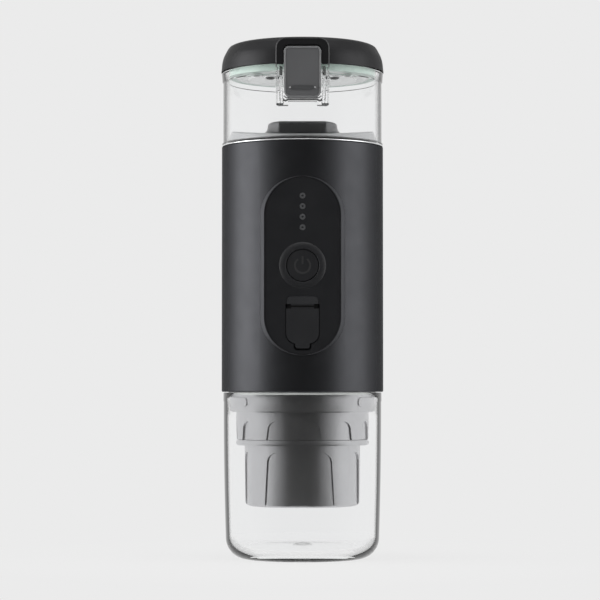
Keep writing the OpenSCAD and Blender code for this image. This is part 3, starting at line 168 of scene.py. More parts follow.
def plastic(name, colour, rough=0.4, spread=0.04, grain=0.00002, grain_scale=4500.0,
            spec=0.5, mottle=0.08, metallic=0.0, rim=1.0, lean=0.0):
    """Moulded or painted surface: faint mottling, uneven gloss and a fine grain."""
    m, nt, b = new_material(name)
    co = object_coords(nt)
    slow = noise(nt, co, 60.0, 3.0)
    fine = noise(nt, co, grain_scale, 2.0)
    dark = tuple(c * (1 - mottle) for c in colour)
    light = tuple(min(1.0, c * (1 + mottle)) for c in colour)
    nt.links.new(tint(nt, slow, dark, light), b.inputs["Base Color"])
    nt.links.new(ramp(nt, noise(nt, co, 140.0, 3.0), rough - spread, rough + spread),
                 b.inputs["Roughness"])
    b.inputs["Specular IOR Level"].default_value = spec
    b.inputs["Metallic"].default_value = metallic
    b.inputs["Specular Tint"].default_value = (rim, rim, rim, 1)
    bump(nt, b, [(fine, grain)], 0.5, turned(nt, lean) if lean else None)
    return m


def metal(name, colour, rough=0.25, grain=(900.0, 900.0, 40.0), depth=0.000004):
    """Brushed metal with the brushing along its long side."""
    m, nt, b = new_material(name)
    co = object_coords(nt)
    mapping = add(nt, "ShaderNodeMapping")
    mapping.inputs["Scale"].default_value = grain
    nt.links.new(co, mapping.inputs["Vector"])
    lines = noise(nt, mapping.outputs["Vector"], 6.0, 3.0)
    nt.links.new(tint(nt, lines, tuple(c * 0.85 for c in colour), colour),
                 b.inputs["Base Color"])
    nt.links.new(ramp(nt, lines, rough - 0.06, rough + 0.08), b.inputs["Roughness"])
    b.inputs["Metallic"].default_value = 1.0
    bump(nt, b, [(lines, depth)], 0.4)
    return m


def beyond(nt, coords, start, width=0.2 * MM):
    """0 within a radius about the object's axis, 1 outside it."""
    radius = vector_math(nt, "LENGTH", vector_math(nt, "MULTIPLY", coords, FLAT))
    return ramp(nt, radius, 0.0, 1.0, start, start + width)


def clear(name, outer_from, edge, edge_from, edge_to, rim):
    """Clear moulded plastic whose outer wall, past a radius, is painted darker seen edge on, as
    shade.
    """
    m, nt, b = new_material(name)
    co = object_coords(nt)
    facing = add(nt, "ShaderNodeLayerWeight", Blend=0.5).outputs["Facing"]
    share = ramp(nt, facing, 0.0, 1.0, edge_from, edge_to)
    if outer_from:
        share = scalar_math(nt, "MULTIPLY", beyond(nt, co, outer_from), share)
    # Painted shade: the base colour goes dark towards an edge-on view, for the dark edges a clear
    # wall shows.
    nt.links.new(tint(nt, share, (0.99, 0.993, 0.995), (edge, edge * 1.02, edge * 1.02)),
                 b.inputs["Base Color"])
    b.inputs["Transmission Weight"].default_value = 1.0
    b.inputs["Roughness"].default_value = 0.0
    b.inputs["IOR"].default_value = 1.5
    b.inputs["Specular Tint"].default_value = (rim, rim, rim, 1)
    bump(nt, b, [(noise(nt, co, 45.0, 1.0), 0.00002)], 0.4)
    return m


def body_paint():
    """Dark satin paint; the frame that stands out of the sleeve is painted lighter, as a
    highlight.
    """
    m = plastic("body_paint", (0.0375, 0.0382, 0.0412), rough=0.42, spread=0.03,
                grain=0.000012, grain_scale=3500.0, metallic=0.8, rim=0.3)
    nt = m.node_tree
    base = nt.nodes["Principled BSDF"].inputs["Base Color"]
    paint = base.links[0].from_socket
    # Painted highlight: past the sleeve's radius the base colour turns lighter, for the light the
    # frame catches.
    painted_frame_highlight = nt.nodes.new("ShaderNodeMix")
    painted_frame_highlight.data_type = "RGBA"
    painted_frame_highlight.inputs["B"].default_value = (0.118, 0.120, 0.128, 1)
    nt.links.new(beyond(nt, object_coords(nt), 36.03 * MM), painted_frame_highlight.inputs["Factor"])
    nt.links.new(paint, painted_frame_highlight.inputs["A"])
    nt.links.new(painted_frame_highlight.outputs["Result"], base)
    return m


BODY = body_paint()
PANEL = plastic("panel_plastic", (0.0106, 0.0109, 0.0124), rough=0.42, spec=0.4)
BUTTON = plastic("button_plastic", (0.0118, 0.012, 0.0135), rough=0.45, spec=0.4)
COVER = plastic("cover_rubber", (0.0135, 0.0138, 0.0155), rough=0.5, spec=0.38)
ANCHOR = plastic("anchor_rubber", (0.021, 0.0215, 0.0235), rough=0.45, spec=0.4)
GLOSS = plastic("lid_plastic", (0.022, 0.022, 0.023), rough=0.42, spec=0.3, metallic=0.5, rim=0.3)
PLINTH = plastic("plinth_plastic", (0.48, 0.485, 0.49), rough=0.4, metallic=0.9)
FILTER = plastic("filter_plastic", (0.17, 0.171, 0.174), rough=0.34, metallic=0.97)
COLLAR = plastic("collar_plastic", (0.66, 0.66, 0.672), rough=0.31, grain=0.000004,
                 metallic=1.0, lean=0.8)
BREW = plastic("brew_plastic", (0.64, 0.64, 0.652), rough=0.3, spread=0.02, grain=0.000004,
               mottle=0.04, metallic=1.0, lean=0.85)
LATCH = plastic("latch_plastic", (0.096, 0.097, 0.1), rough=0.34)
# Painted shade: the grip rib is darker than the latch.
LATCH_RIB_SHADE = plastic("latch_rib_shade", (0.058, 0.059, 0.061), rough=0.34)
# Painted glints: light dots at the ends of the grip rib.
LATCH_DOT_GLINT = plastic("latch_dot_glint", (0.22, 0.222, 0.225), rough=0.3)
# Painted highlight: the latch's rounded edge is lighter than the latch.
LATCH_EDGE_HIGHLIGHT = plastic("latch_edge_highlight", (0.14, 0.142, 0.145), rough=0.3)
# Painted highlight: the line round the lid's pad is lighter than the lid.
PAD_EDGE_HIGHLIGHT = plastic("pad_edge_highlight", (0.05, 0.05, 0.052), rough=0.35)
# Painted highlight: the button's ring is a little lighter than the panel.
RING = plastic("ring_plastic", (0.0165, 0.0168, 0.0182), rough=0.42, spec=0.2)
# Painted highlight: bright glints on the clear tank's foot and the latch frame.
PAINTED_GLINT = plastic("painted_glint", (0.80, 0.81, 0.82), rough=0.25, metallic=0.85)
WEB = plastic("web_rubber", (0.003, 0.003, 0.003), rough=0.7, spec=0.1)
INNER = plastic("inner_plastic", (0.08, 0.08, 0.085), rough=0.5)
SEAL = plastic("seal_rubber", (0.02, 0.02, 0.02), rough=0.6, spec=0.3)
GREEN = plastic("green_silicone", (0.50, 0.62, 0.56), rough=0.3)
SILICONE = plastic("pale_silicone", (0.7, 0.72, 0.7), rough=0.45)
RED = plastic("red_silicone", (0.55, 0.12, 0.06), rough=0.45)
IVORY = plastic("brew_head_plastic", (0.7, 0.69, 0.64), rough=0.45)
FIBRE = plastic("insulator_fibre", (0.75, 0.73, 0.67), rough=0.85, grain=0.0001)
WRAP = plastic("cell_film", (0.04, 0.13, 0.35), rough=0.3)
BOARD = plastic("solder_mask", (0.02, 0.16, 0.07), rough=0.35, mottle=0.25)
SWITCH = plastic("switch_case", (0.16, 0.16, 0.17), rough=0.4)
STEEL = metal("stainless_steel", (0.62, 0.62, 0.64))
MESH = metal("etched_steel", (0.6, 0.6, 0.61), rough=0.3, grain=(300, 300, 300))
MOTOR = metal("plated_steel", (0.55, 0.56, 0.58), rough=0.3, grain=(60, 60, 900))
CAST = metal("cast_aluminium", (0.66, 0.67, 0.69), rough=0.45, grain=(400, 400, 400))
BRASS = metal("brass", (0.72, 0.52, 0.22), rough=0.3)
# Painted shade: the clear plastics darken where seen edge on.
CLEAR_CUP = clear("clear_cup", 33.45 * MM, 0.0, 0.62, 0.70, rim=0.25)
CLEAR_TANK = clear("clear_tank", 34.3 * MM, 0.03, 0.58, 0.74, rim=0.25)
CLEAR_BAR = clear("clear_bar", 0, 0.01, 0.16, 0.60, rim=0.8)
# Painted shade: near black bars for the dark lines and spots of the clear frame.
SHADE_BAR = clear("painted_shade_bar", 0, 0.01, -0.9, 0.3, rim=0.5)


def liner_material():
    """Milky liner: mostly diffuse, with some light passing through."""
    m, nt, b = new_material("frosted_liner")
    co = object_coords(nt)
    nt.links.new(tint(nt, noise(nt, co, 90.0, 3.0), (0.80, 0.83, 0.82), (0.86, 0.88, 0.87)),
                 b.inputs["Base Color"])
    b.inputs["Roughness"].default_value = 0.16
    b.inputs["Transmission Weight"].default_value = 0.2
    b.inputs["IOR"].default_value = 1.6
    rings = add(nt, "ShaderNodeTexWave", wave_type="RINGS", rings_direction="Z", Scale=52.0)
    nt.links.new(co, rings.inputs["Vector"])
    bump(nt, b, [(noise(nt, co, 120.0), 0.0001), (rings.outputs["Fac"], 0.0002)], 0.3)
    return m


def light_material():
    """Unlit indicator lens: milky plastic, its lighter grey painted as the ring-shaped glint
    round each dark middle.
    """
    m, nt, b = new_material("light_lens")
    co = object_coords(nt)
    nt.links.new(tint(nt, noise(nt, co, 900.0, 2.0), (0.055, 0.056, 0.058), (0.08, 0.081, 0.084)),
                 b.inputs["Base Color"])
    b.inputs["Roughness"].default_value = 0.3
    return m


LINER = liner_material()
LENS = light_material()

LOOKS = {
    "cup": CLEAR_CUP, "water_tank": CLEAR_TANK, "body_shell": BODY, "control_panel": PANEL,
    "led_light_guide": LENS, "port_cover_anchor": ANCHOR, "usb_port": STEEL,
    "control_board": BOARD, "tact_switch": SWITCH, "board_screws": STEEL, "chassis": INNER,
    "battery_cells": WRAP, "battery_tabs": STEEL, "battery_clip": INNER, "pump_motor": MOTOR,
    "pump_head": INNER, "motor_damper": SEAL, "boiler": CAST, "boiler_insulator": FIBRE,
    "heating_element": BRASS, "thermostat": FIBRE, "temperature_sensor": BRASS,
    "check_valve": BRASS, "pressure_pipe": STEEL, "inlet_hose": SILICONE, "top_cover": PLINTH,
    "top_cover_screws": STEEL, "tank_seal": SEAL, "inlet_filter_cap": FILTER,
    "inlet_filter_screen": MESH, "hinge_pin": STEEL, "bottom_collar": COLLAR,
    "cup_seal": SILICONE, "brew_head": IVORY, "brew_head_screws": STEEL, "brew_gasket": RED,
    "shower_screen": MESH, "shower_screw": STEEL, "lid_shell": GLOSS, "lid_liner": LINER,
    "lid_seal": GREEN, "latch_pin": STEEL, "latch": LATCH, "brew_ring": BREW,
    "brew_ring_seal": SEAL, "brew_cap": BREW, "coffee_basket": STEEL, "basket_mesh": MESH,
    "power_button": BUTTON, "port_flap": COVER, "pump_rotor": MOTOR,
}
for name, look in LOOKS.items():
    mesh = nodes[name].data
    mesh.materials.clear()
    mesh.materials.append(look)
nodes["water_tank"].visible_shadow = False


# Small pieces

def mesh_object(name, verts, faces, material):
    """Flat-shaded mesh, its places in metres."""
    mesh = bpy.data.meshes.new(name)
    mesh.from_pydata([Vector(v) for v in verts], [], faces)
    mesh.validate()
    mesh.materials.append(material)
    for p in mesh.polygons:
        p.use_smooth = False
    obj = bpy.data.objects.new(name, mesh)
    bpy.context.scene.collection.objects.link(obj)
    return obj


def box_mm(node):
    """Low and high corner of a node's box, in mm."""
    return (tuple(v / MM for v in corner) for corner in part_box(node))


def power_sign():
    """The generic on/off sign, printed on the power button."""
    lo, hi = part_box("power_button")
    x0, z0 = (lo[0] + hi[0]) / 2, (lo[2] + hi[2]) / 2
    y0 = lo[1]
    r, half, gap = 3.3, 0.42, 35  # arc's radius, half a stroke, half the arc's gap in degrees
    verts, faces = [], []

    def strip(points):
        """A stroke along points (x, z in mm) about the button's centre."""
        base = len(verts)
        n = len(points)
        for i, (x, z) in enumerate(points):
            xa, za = points[max(i - 1, 0)]
            xb, zb = points[min(i + 1, n - 1)]
            length = math.hypot(xb - xa, zb - za)
            nx, nz = -(zb - za) / length, (xb - xa) / length
            for side in (-half, half):
                for depth in (-0.06, 0.1):
                    verts.append((x0 + (x + nx * side) * MM, y0 + depth * MM,
                                  z0 + (z + nz * side) * MM))
        for i in range(n - 1):
            a, b = base + 4 * i, base + 4 * i + 4
            faces.extend([(a, a + 2, b + 2, b), (a + 1, b + 1, b + 3, a + 3),
                          (a, b, b + 1, a + 1), (a + 2, a + 3, b + 3, b + 2)])
        a, b = base, base + 4 * (n - 1)
        faces.extend([(a, a + 1, a + 3, a + 2), (b, b + 2, b + 3, b + 1)])

    strip([(r * math.sin(math.radians(t)), r * math.cos(math.radians(t)))
           for t in range(gap, 361 - gap, 5)])
    strip([(0, 0.6), (0, 4.0)])
    ink = plastic("sign_ink", (0.022, 0.022, 0.023), rough=0.5)
    sign = mesh_object("power_sign", verts, faces, ink)
    face_outwards(sign)
    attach(sign, "power_button")


def prism(name, outlines, y0, y1, material):
    """Plate with the given front outlines (x, z in mm), from depth y0 to y1 in mm."""
    verts, faces = [], []
    for outline in outlines:
        base, n = len(verts), len(outline)
        for y in (y0, y1):
            verts.extend((x * MM, y * MM, z * MM) for x, z in outline)
        faces.append(tuple(base + i for i in range(n)))
        faces.append(tuple(base + n + i for i in reversed(range(n))))
        for i in range(n):
            k = (i + 1) % n
            faces.append((base + k, base + i, base + n + i, base + n + k))
    plate = mesh_object(name, verts, faces, material)
    face_outwards(plate)
    return plate


def face_outwards(obj):
    """All faces turned outwards."""
    bm = bmesh.new()
    bm.from_mesh(obj.data)
    bmesh.ops.recalc_face_normals(bm, faces=bm.faces)
    bm.to_mesh(obj.data)
    bm.free()


def panel_sides():
    """Fills the control panel's sides out to its flat face."""
    lo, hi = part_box("control_panel")
    z0 = (lo[2] + hi[2]) / 2 / MM
    half, straight = 16.38, 22.1  # half its width, half the height of its straight sides
    inner = 8.9  # where the solid's face is flat
    low = math.asin(inner / half)
    arc = [low + (math.pi / 2 - low) * i / 24 for i in range(25)]
    side = [(half * math.sin(t), z0 + straight + half * math.cos(t)) for t in arc]
    side += [(half * math.sin(t), z0 - straight - half * math.cos(t)) for t in reversed(arc)]
    plate = prism("panel_sides", [side, [(-x, z) for x, z in side]], PANEL_Y - 0.003, -33.0,
                  PANEL)
    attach(plate, "machine")


def hinge_web():
    """Thin rubber web that joins the port cover's two halves."""
    axis = next(j for j in frame["joints"] if j["name"] == "port_flap_hinge")["pos_m"]
    half_w, half_t, half_h = 6.7 * MM, 0.24 * MM, 1.6 * MM
    rows = 16
    verts, faces = [], []
    for j in range(rows + 1):
        z = axis[2] - half_h + 2 * half_h * j / rows
        for x, y in ((-half_w, -half_t), (half_w, -half_t), (half_w, half_t), (-half_w, half_t)):
            verts.append((x, axis[1] + y, z))
    for j in range(rows):
        low, high = 4 * j, 4 * j + 4
        for i in range(4):
            k = (i + 1) % 4
            faces.append((low + i, low + k, high + k, high + i))
    last = 4 * rows
    faces.append((3, 2, 1, 0))
    faces.append((last, last + 1, last + 2, last + 3))
    web = mesh_object("hinge_web", verts, faces, WEB)
    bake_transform(web)


def tube(name, paths, radius, material, closed=False):
    """Round bar along each path of points in mm."""
    curve = bpy.data.curves.new(name, "CURVE")
    curve.dimensions = "3D"
    curve.bevel_depth = radius * MM
    curve.bevel_resolution = 3
    curve.use_fill_caps = True
    for path in paths:
        spline = curve.splines.new("POLY")
        spline.points.add(len(path) - 1)
        for point, place in zip(spline.points, path):
            point.co = (*(v * MM for v in place), 1)
        spline.use_cyclic_u = closed
    source = bpy.data.objects.new(name + "_path", curve)
    bpy.context.scene.collection.objects.link(source)
    mesh = bpy.data.meshes.new_from_object(source)
    bpy.data.objects.remove(source)
    mesh.materials.clear()
    mesh.materials.append(material)
    for p in mesh.polygons:
        p.use_smooth = len(p.vertices) == 4
    bar = bpy.data.objects.new(name, mesh)
    bpy.context.scene.collection.objects.link(bar)
    return bar


def round_corner(x, z, r, start, steps=8):
    """Quarter circle about (x, z), turning clockwise from a start angle in degrees."""
    turn = [math.radians(start - 90 * i / steps) for i in range(steps + 1)]
    return [(x + r * math.cos(t), z + r * math.sin(t)) for t in turn]


def lathe(name, profile, centre, axis, material, steps=96):
    """Closed ring of a profile (radius, height in mm) turned about Y or Z at centre."""
    verts, faces, n = [], [], len(profile)
    for k in range(steps):
        t = 2 * math.pi * k / steps
        for r, h in profile:
            a, b = r * math.cos(t), r * math.sin(t)
            place = (a, h, b) if axis == "Y" else (a, b, h)
            verts.append(tuple((c + p) * MM for c, p in zip(centre, place)))
    for k in range(steps):
        for i in range(n):
            j, m = (i + 1) % n, (k + 1) % steps
            faces.append((k * n + i, k * n + j, m * n + j, m * n + i))
    ring = mesh_object(name, verts, faces, material)
    face_outwards(ring)
    smooth(ring)
    return ring


def smooth(obj, angle=35):
    """Smooth shading with sharp edges kept."""
    for p in obj.data.polygons:
        p.use_smooth = True
    obj.data.set_sharp_from_angle(angle=math.radians(angle))


def latch_trim():
    """Rounded edge of the latch, painted lighter as a highlight; its grip rib, painted darker as
    shade; and light dots at the rib's ends, painted as glints.
    """
    lo, hi = box_mm("latch")
    inset, radius = 0.28, 0.38
    x0, x1, z0, z1 = lo[0] + inset, hi[0] - inset, lo[2] + inset, hi[2] - 2.2 * inset
    low, top = 2.8 - inset, 1.9 - inset  # corner radii
    outline = round_corner(x1 - low, z0 + low, low, 0)
    outline += round_corner(x0 + low, z0 + low, low, 270)
    outline += round_corner(x0 + top, z1 - top, top, 180)
    outline += round_corner(x1 - top, z1 - top, top, 90)
    edge = tube("latch_edge_highlight", [[(x, lo[1] + inset, z) for x, z in outline]], radius, LATCH_EDGE_HIGHLIGHT,
                closed=True)
    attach(edge, "latch")
    z, front = lo[2] + 4.2, lo[1] - 0.05
    end, r = 4.0, 0.85  # centre and radius of the rib's round ends
    rib = round_corner(end, z, r, 90, 6) + round_corner(end, z, r, 0, 6)
    rib += [(-a, b) for a, b in reversed(rib)]
    grip = prism("latch_grip", [rib], front - 0.12, front + 0.6, LATCH_RIB_SHADE)
    dots = [[(s * 5.45, front, z - 0.35), (s * 5.45, front, z + 0.35)] for s in (-1, 1)]
    ends = tube("latch_dots", dots, 0.42, LATCH_DOT_GLINT)
    for piece in (grip, ends):
        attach(piece, "latch")


def pad_trim():
    """Fine line standing out round the pad on the lid's front, painted lighter as a highlight."""
    y, half, r = -39.1, 11.4, 4.2  # depth, half width, corner radius
    top, low = 226.9, 214.2  # heights of the line's top and of its ends
    outline = [(-half, low)] + round_corner(-half + r, top - r, r, 180)
    outline += round_corner(half - r, top - r, r, 90) + [(half, low)]
    line = tube("pad_edge_highlight", [[(x, y, z) for x, z in outline]], 0.22, PAD_EDGE_HIGHLIGHT)
    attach(line, "lid")


def frame_trim():
    """Rounded edges of the clear latch frame, where the plastic is thick; their dark edges, lines
    and spots are painted shade, and frame_glint is a painted highlight.
    """
    y = -38.95  # depth of the bars
    cross = [(-8.6, y, 200.1), (-7.4, y, 199.7), (-6.2, y, 200.25), (6.2, y, 200.25),
             (7.4, y, 199.7), (8.6, y, 200.1)]
    glint = [(-8.2, y, 201.8), (-7.0, y, 201.0), (7.0, y, 201.0), (8.2, y, 201.8)]
    pairs = {  # right-hand path, radius and look; the left one mirrors it
        "frame_rails": ([(9.4, y, 210.0), (9.55, y, 206), (9.3, y, 201.5), (8.9, y, 198.4)],
                        0.8, CLEAR_BAR),
        "frame_studs": ([(8.75, y - 0.2, 199.9), (8.75, y - 0.2, 200.7)], 0.85, CLEAR_BAR),
        "frame_feet": ([(8.3, y, 198.2), (11.2, y, 198.2)], 0.42, SHADE_BAR),
        "frame_sides": ([(11.0, y, 214.6), (11.0, y, 198.0)], 0.35, CLEAR_BAR),
        "frame_lugs": ([(9.3, y, 214.6), (9.4, y, 210.6)], 0.7, SHADE_BAR),
    }
    bars = [(name, [[(s * x, y, z) for x, y, z in path] for s in (-1, 1)], radius, look)
            for name, (path, radius, look) in pairs.items()]
    bars += [("frame_glint", [glint], 0.3, PAINTED_GLINT), ("frame_cross", [cross], 0.42, SHADE_BAR)]
    for name, paths, radius, look in bars:
        bar = tube(name, paths, radius, look)
        bar.visible_shadow = False
        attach(bar, "machine")


def tank_foot():
    """Lower edge of the clear tank: a bright ring painted as a highlight."""
    centre_r, z, r = 35.86, 183.52, 0.24  # radius and height of the bar's middle, its own radius
    profile = [(centre_r + r * math.cos(t), z + r * math.sin(t))
               for t in (2 * math.pi * i / 12 for i in range(12))]
    ring = lathe("tank_foot", profile, (0, 0, 0), "Z", PAINTED_GLINT, steps=160)
    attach(ring, "machine")


def button_ring():
    """Raised ring round the power button, painted a little lighter than the panel as a highlight.
    """
    lo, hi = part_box("power_button")
    z = (lo[2] + hi[2]) / 2 / MM
    # Radius and depth, from the button outwards
    profile = [(7.25, -35.5), (7.25, -36.3), (7.4, -36.44), (8.3, -36.44), (8.7, -36.38),
               (10.1, -35.95), (10.5, -35.5)]
    ring = lathe("button_ring", profile, (0, 0, z), "Y", RING)
    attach(ring, "machine")


def clear_cup():
    """The cup turned in one smooth piece to the solid's profile, its rim nearly flush."""
    mouth, outer, foot = 33.4, 35.25, 34.1  # radii: bore of the rim, rim, wall above the corner
    corner, wall, floor = 9.5, 2.2, 3.3  # radius of the bottom corner, wall, height of the floor
    height, step, bead = 73.75, 69.55, 0.3  # rim's top, height where it starts, its edges' radius
    lift, recess = 0.06, 0.15  # of the underside, which doesn't quite touch the floor
    inner = corner - wall
    low = floor + inner
    turn = [math.radians(2.5 * i) for i in range(37)]
    swell = [i / 24 for i in range(1, 25)]  # shares of the height, where the radius grows by 1
    profile = [(22.2, recess), (23.0, recess), (23.6, lift)]
    profile += [(foot - corner + corner * math.sin(t), max(lift, corner - corner * math.cos(t)))
                for t in turn]
    profile += [(foot + 1 - (1 - f) ** 2, corner + (step - corner) * f) for f in swell]
    profile += [(outer, height - 3.6), (outer, height - bead), (outer - 0.09, height - 0.09),
                (outer - bead, height), (mouth + bead, height), (mouth + 0.09, height - 0.09),
                (mouth, height - bead), (mouth, step - 3), (mouth - 0.5, step - 5)]
    profile += [(foot - wall + 1 - (1 - f) ** 2, low + (step - low) * f)
                for f in reversed(swell[:21])]
    profile += [(foot - wall - inner + inner * math.sin(t), low - inner * math.cos(t))
                for t in reversed(turn)]
    # Small ring in the middle of the floor
    profile += [(4.3, floor), (4.1, floor + 0.22), (3.6, floor + 0.22), (3.4, floor)]
    steps, n = 180, len(profile)
    verts, faces = [], []
    for k in range(steps):
        t = 2 * math.pi * k / steps
        verts.extend((r * math.cos(t) * MM, r * math.sin(t) * MM, z * MM) for r, z in profile)
    for k in range(steps):
        m = (k + 1) % steps
        for i in range(n - 1):
            faces.append((k * n + i, m * n + i, m * n + i + 1, k * n + i + 1))
    faces.append(tuple(k * n for k in reversed(range(steps))))
    faces.append(tuple(k * n + n - 1 for k in range(steps)))
    cup = mesh_object("clear_cup", verts, faces, CLEAR_CUP)
    face_outwards(cup)
    smooth(cup, 24)
    cup.visible_shadow = False
    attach(cup, "cup")
    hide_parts("cup")
    return cup


def light_centres():
    """Dark middle of each indicator light, inside the lens's painted ring glint."""
    top, pitch, count = 158.9, 4.57, 4  # height of the top light, spacing, number
    turn = [2 * math.pi * i / 24 for i in range(24)]
    dots = [[(0.5 * math.cos(t), top - pitch * k + 0.42 * math.sin(t)) for t in turn]
            for k in range(count)]
    centres = prism("light_centres", dots, PANEL_Y, -35.7, PANEL)
    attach(centres, "machine")


def filter_cap():
    """Inlet filter's cap: round, cut flat in front and behind."""
    lo, hi = box_mm("inlet_filter_cap")
    r, flat = 15.5, 11.6  # radius, distance of each flat from the axis
    foot, top = 187.6, hi[2]  # heights of the flared foot and of the top
    flare, edge = 4.0, 1.3  # radii of the flared foot and of the top's edge
    # Each level is a height, the growth of the radius there, and whether the flats cut it.
    levels = [(lo[2], 0.0, False), (foot, 0.0, False), (foot, flare, True)]
    levels += [(foot + 1.0 + flare - flare * math.cos(t), flare - flare * math.sin(t), True)
               for t in (math.radians(9 * i) for i in range(11))]
    levels += [(top - edge + edge * math.sin(t), -edge + edge * math.cos(t), True)
               for t in (math.radians(15 * i) for i in range(7))]
    steps = 144
    verts, faces = [], []
    for z, grow, cut in levels:
        for k in range(steps):
            t = 2 * math.pi * k / steps
            side = min(1.0, max(0.0, (abs(math.cos(t)) - 0.68) / 0.25))  # no flare at the flats
            reach = r + (grow * side if grow > 0 else grow)
            if cut:
                reach = min(reach, (flat + min(grow, 0)) / max(abs(math.sin(t)), 1e-6))
            verts.append((reach * math.cos(t) * MM, reach * math.sin(t) * MM, z * MM))
    for j in range(len(levels) - 1):
        for k in range(steps):
            m = (k + 1) % steps
            faces.append((j * steps + k, j * steps + m, (j + 1) * steps + m, (j + 1) * steps + k))
    last = (len(levels) - 1) * steps
    faces.append(tuple(reversed(range(steps))))
    faces.append(tuple(last + k for k in range(steps)))
    cap = mesh_object("filter_cap", verts, faces, FILTER)
    face_outwards(cap)
    smooth(cap, 28)
    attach(cap, "machine")
    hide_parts("inlet_filter_cap")


def liner_vents():
    """Vent slots in the liner's underside, each with its rim; each slot is a dark disc, partly
    the black lid seen through it and partly painted shade.
    """
    bottom, top, rim, n = 213.12, 213.3, 0.3, 40  # heights, radius of a rim's bar, steps
    # Each vent is its centre and its half sizes in X and Y.
    holes = [(s * 14.0, -11.0, 2.2, 5.4) for s in (-1, 1)]
    holes += [(s * 19.6, -18.5, 1.5, 2.2) for s in (-1, 1)]
    turn = [2 * math.pi * i / n for i in range(n)]
    verts, faces = [], []
    for x, y, a, b in holes:
        base = len(verts)
        for z in (bottom, top):
            verts.extend(((x + a * math.cos(t)) * MM, (y + b * math.sin(t)) * MM, z * MM)
                         for t in turn)
        faces.append(tuple(base + i for i in reversed(range(n))))
        faces.append(tuple(base + n + i for i in range(n)))
        for i in range(n):
            k = (i + 1) % n
            faces.append((base + i, base + k, base + n + k, base + n + i))
    slots = mesh_object("liner_vents", verts, faces, SEAL)
    face_outwards(slots)
    rims = [[(x + (a + rim) * math.cos(t), y + (b + rim) * math.sin(t), bottom + 0.03)
             for t in turn] for x, y, a, b in holes]
    edges = tube("vent_rims", rims, rim, LINER, closed=True)
    for piece, slot in ((slots, "seal_black"), (edges, "frosted_liner")):
        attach(piece, "lid")


glass = clear_cup()
panel_sides()
power_sign()
button_ring()
light_centres()
hinge_web()
latch_trim()
pad_trim()
frame_trim()
tank_foot()
filter_cap()
liner_vents()


# Studio

PALE = 0.8308  # the background's grey
SOFT = 0.5  # the world's light on dull surfaces
DARK_ROOM = 0.004  # the grey that surfaces mirror from in front
FLOOR_R = 0.3  # radius of the floor, in metres


def mix_shaders(nt, factor, first, second):
    """The first shader where the factor is 0, the second where it is 1."""
    mix = nt.nodes.new("ShaderNodeMixShader")
    for socket, source in zip(mix.inputs, (factor, first, second)):
        nt.links.new(source, socket)
    return mix.outputs[0]


def bounced_rays(nt):
    """1 for what a glossy surface mirrors, bare or behind a clear wall, else 0.

    Light that only turns inside a clear wall has been let through one to three times.
    """
    path = nt.nodes.new("ShaderNodeLightPath").outputs
    glossy = scalar_math(nt, "GREATER_THAN", path["Glossy Depth"], 0.5)
    inside = scalar_math(nt, "COMPARE", path["Transmission Depth"], 2.0, 1.5)
    return scalar_math(nt, "SUBTRACT", glossy, inside, use_clamp=True)


def seen_rays(nt):
    """1 for the rays that show the background's grey, else 0."""
    path = nt.nodes.new("ShaderNodeLightPath").outputs
    total = path["Is Camera Ray"]
    for kind in ("Is Glossy Ray", "Is Transmission Ray"):
        total = scalar_math(nt, "MAXIMUM", total, path[kind])
    return total


def mirrored(nt, coords, shader, start, end):
    """Shader for PALE all round, dark in front, between two places along Y."""
    axes = nt.nodes.new("ShaderNodeSeparateXYZ")
    nt.links.new(coords, axes.inputs[0])
    return mix_shaders(nt, ramp(nt, axes.outputs["Y"], 1.0, 0.0, start, end),
                       shader(nt, PALE), shader(nt, DARK_ROOM))


def background(nt, level):
    """Light of the world in a grey."""
    return add(nt, "ShaderNodeBackground", Color=(level, level, level, 1)).outputs[0]


def glow(nt, level):
    """Surface that shines in a grey."""
    return add(nt, "ShaderNodeEmission", Color=(level, level, level, 1)).outputs[0]


def studio_world():
    """Pale all round, with the dark of the room in front for what is mirrored."""
    world = bpy.data.worlds.new("studio")
    bpy.context.scene.world = world
    world.use_nodes = True
    nt = world.node_tree
    nt.nodes.remove(nt.nodes["Background"])
    plain = mix_shaders(nt, seen_rays(nt), background(nt, SOFT), background(nt, PALE))
    coords = nt.nodes.new("ShaderNodeTexCoord").outputs["Generated"]
    nt.links.new(mix_shaders(nt, bounced_rays(nt), plain,
                             mirrored(nt, coords, background, -0.88, -0.30)),
                 nt.nodes["World Output"].inputs["Surface"])


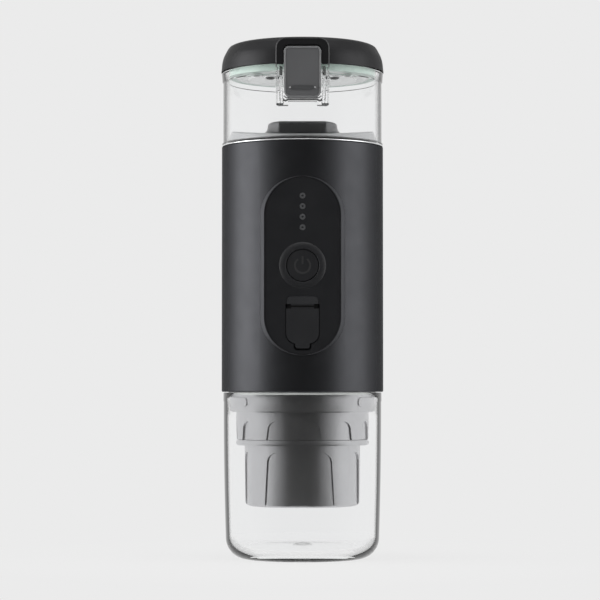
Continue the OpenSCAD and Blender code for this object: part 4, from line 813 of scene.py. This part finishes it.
def studio_floor():
    """Pale round floor that shows as the background's grey and keeps a soft shadow."""
    m = bpy.data.materials.new("floor")
    m.use_nodes = True
    nt = m.node_tree
    nt.nodes.remove(nt.nodes["Principled BSDF"])
    matt = add(nt, "ShaderNodeBsdfDiffuse", Color=(0.80, 0.80, 0.80, 1)).outputs[0]
    coords = object_coords(nt)
    # The matt floor, with its shadow, shows faintly near the foot and not at all past 16 cm.
    shadowed = ramp(nt, vector_math(nt, "LENGTH", coords), 0.14, 0.0, 0.05, 0.16)
    near = mix_shaders(nt, shadowed, glow(nt, PALE), matt)
    seen = mix_shaders(nt, bounced_rays(nt), near, mirrored(nt, coords, glow, -0.10, -0.045))
    nt.links.new(mix_shaders(nt, seen_rays(nt), matt, seen),
                 nt.nodes["Material Output"].inputs["Surface"])
    rim = [(FLOOR_R * math.cos(a), FLOOR_R * math.sin(a), 0)
           for a in (math.radians(3 * i) for i in range(120))]
    mesh_object("floor", rim, [tuple(range(120))], m)


def area_light(name, place, target, width, height, watts):
    """Rectangular lamp at a place, turned to a target."""
    data = bpy.data.lights.new(name, "AREA")
    data.shape = "RECTANGLE"
    data.size = width
    data.size_y = height
    data.energy = watts
    lamp = bpy.data.objects.new(name, data)
    lamp.location = place
    lamp.rotation_euler = (Vector(target) - Vector(place)).to_track_quat("-Z", "Y").to_euler()
    bpy.context.scene.collection.objects.link(lamp)
    return lamp


def flagged(lamps, pieces):
    """Flags keep these lamps off the given pieces."""
    spared = bpy.data.collections.new("flagged")
    for piece in pieces:
        spared.objects.link(piece)
    for link in spared.collection_objects:
        link.light_linking.link_state = "EXCLUDE"
    for lamp in lamps:
        lamp.light_linking.receiver_collection = spared


studio_world()
studio_floor()
left = area_light("left_strip", (-0.94, -0.09, 0.20), (0, 0, 0.12), 0.80, 1.1, 13.1)
right = area_light("right_strip", (0.92, -0.24, 0.20), (0, 0, 0.12), 0.80, 1.1, 7.9)
area_light("top_soft", (0, -0.2, 1.1), (0, 0, 0.15), 0.9, 0.9, 5)
flagged((left, right), [glass, nodes["water_tank"], nodes["brew_cap"], nodes["brew_ring"],
                        nodes["bottom_collar"]])

lens = bpy.data.cameras.new("camera")
lens.sensor_width = 36.0
lens.lens = 147.0
lens.clip_end = 50.0
camera = bpy.data.objects.new("camera", lens)
camera.location = (-0.0011, -1.093, 0.074)
camera.rotation_euler = (math.radians(92.15), 0, 0)
bpy.context.scene.collection.objects.link(camera)
bpy.context.scene.camera = camera
bpy.context.scene.view_settings.view_transform = "Standard"
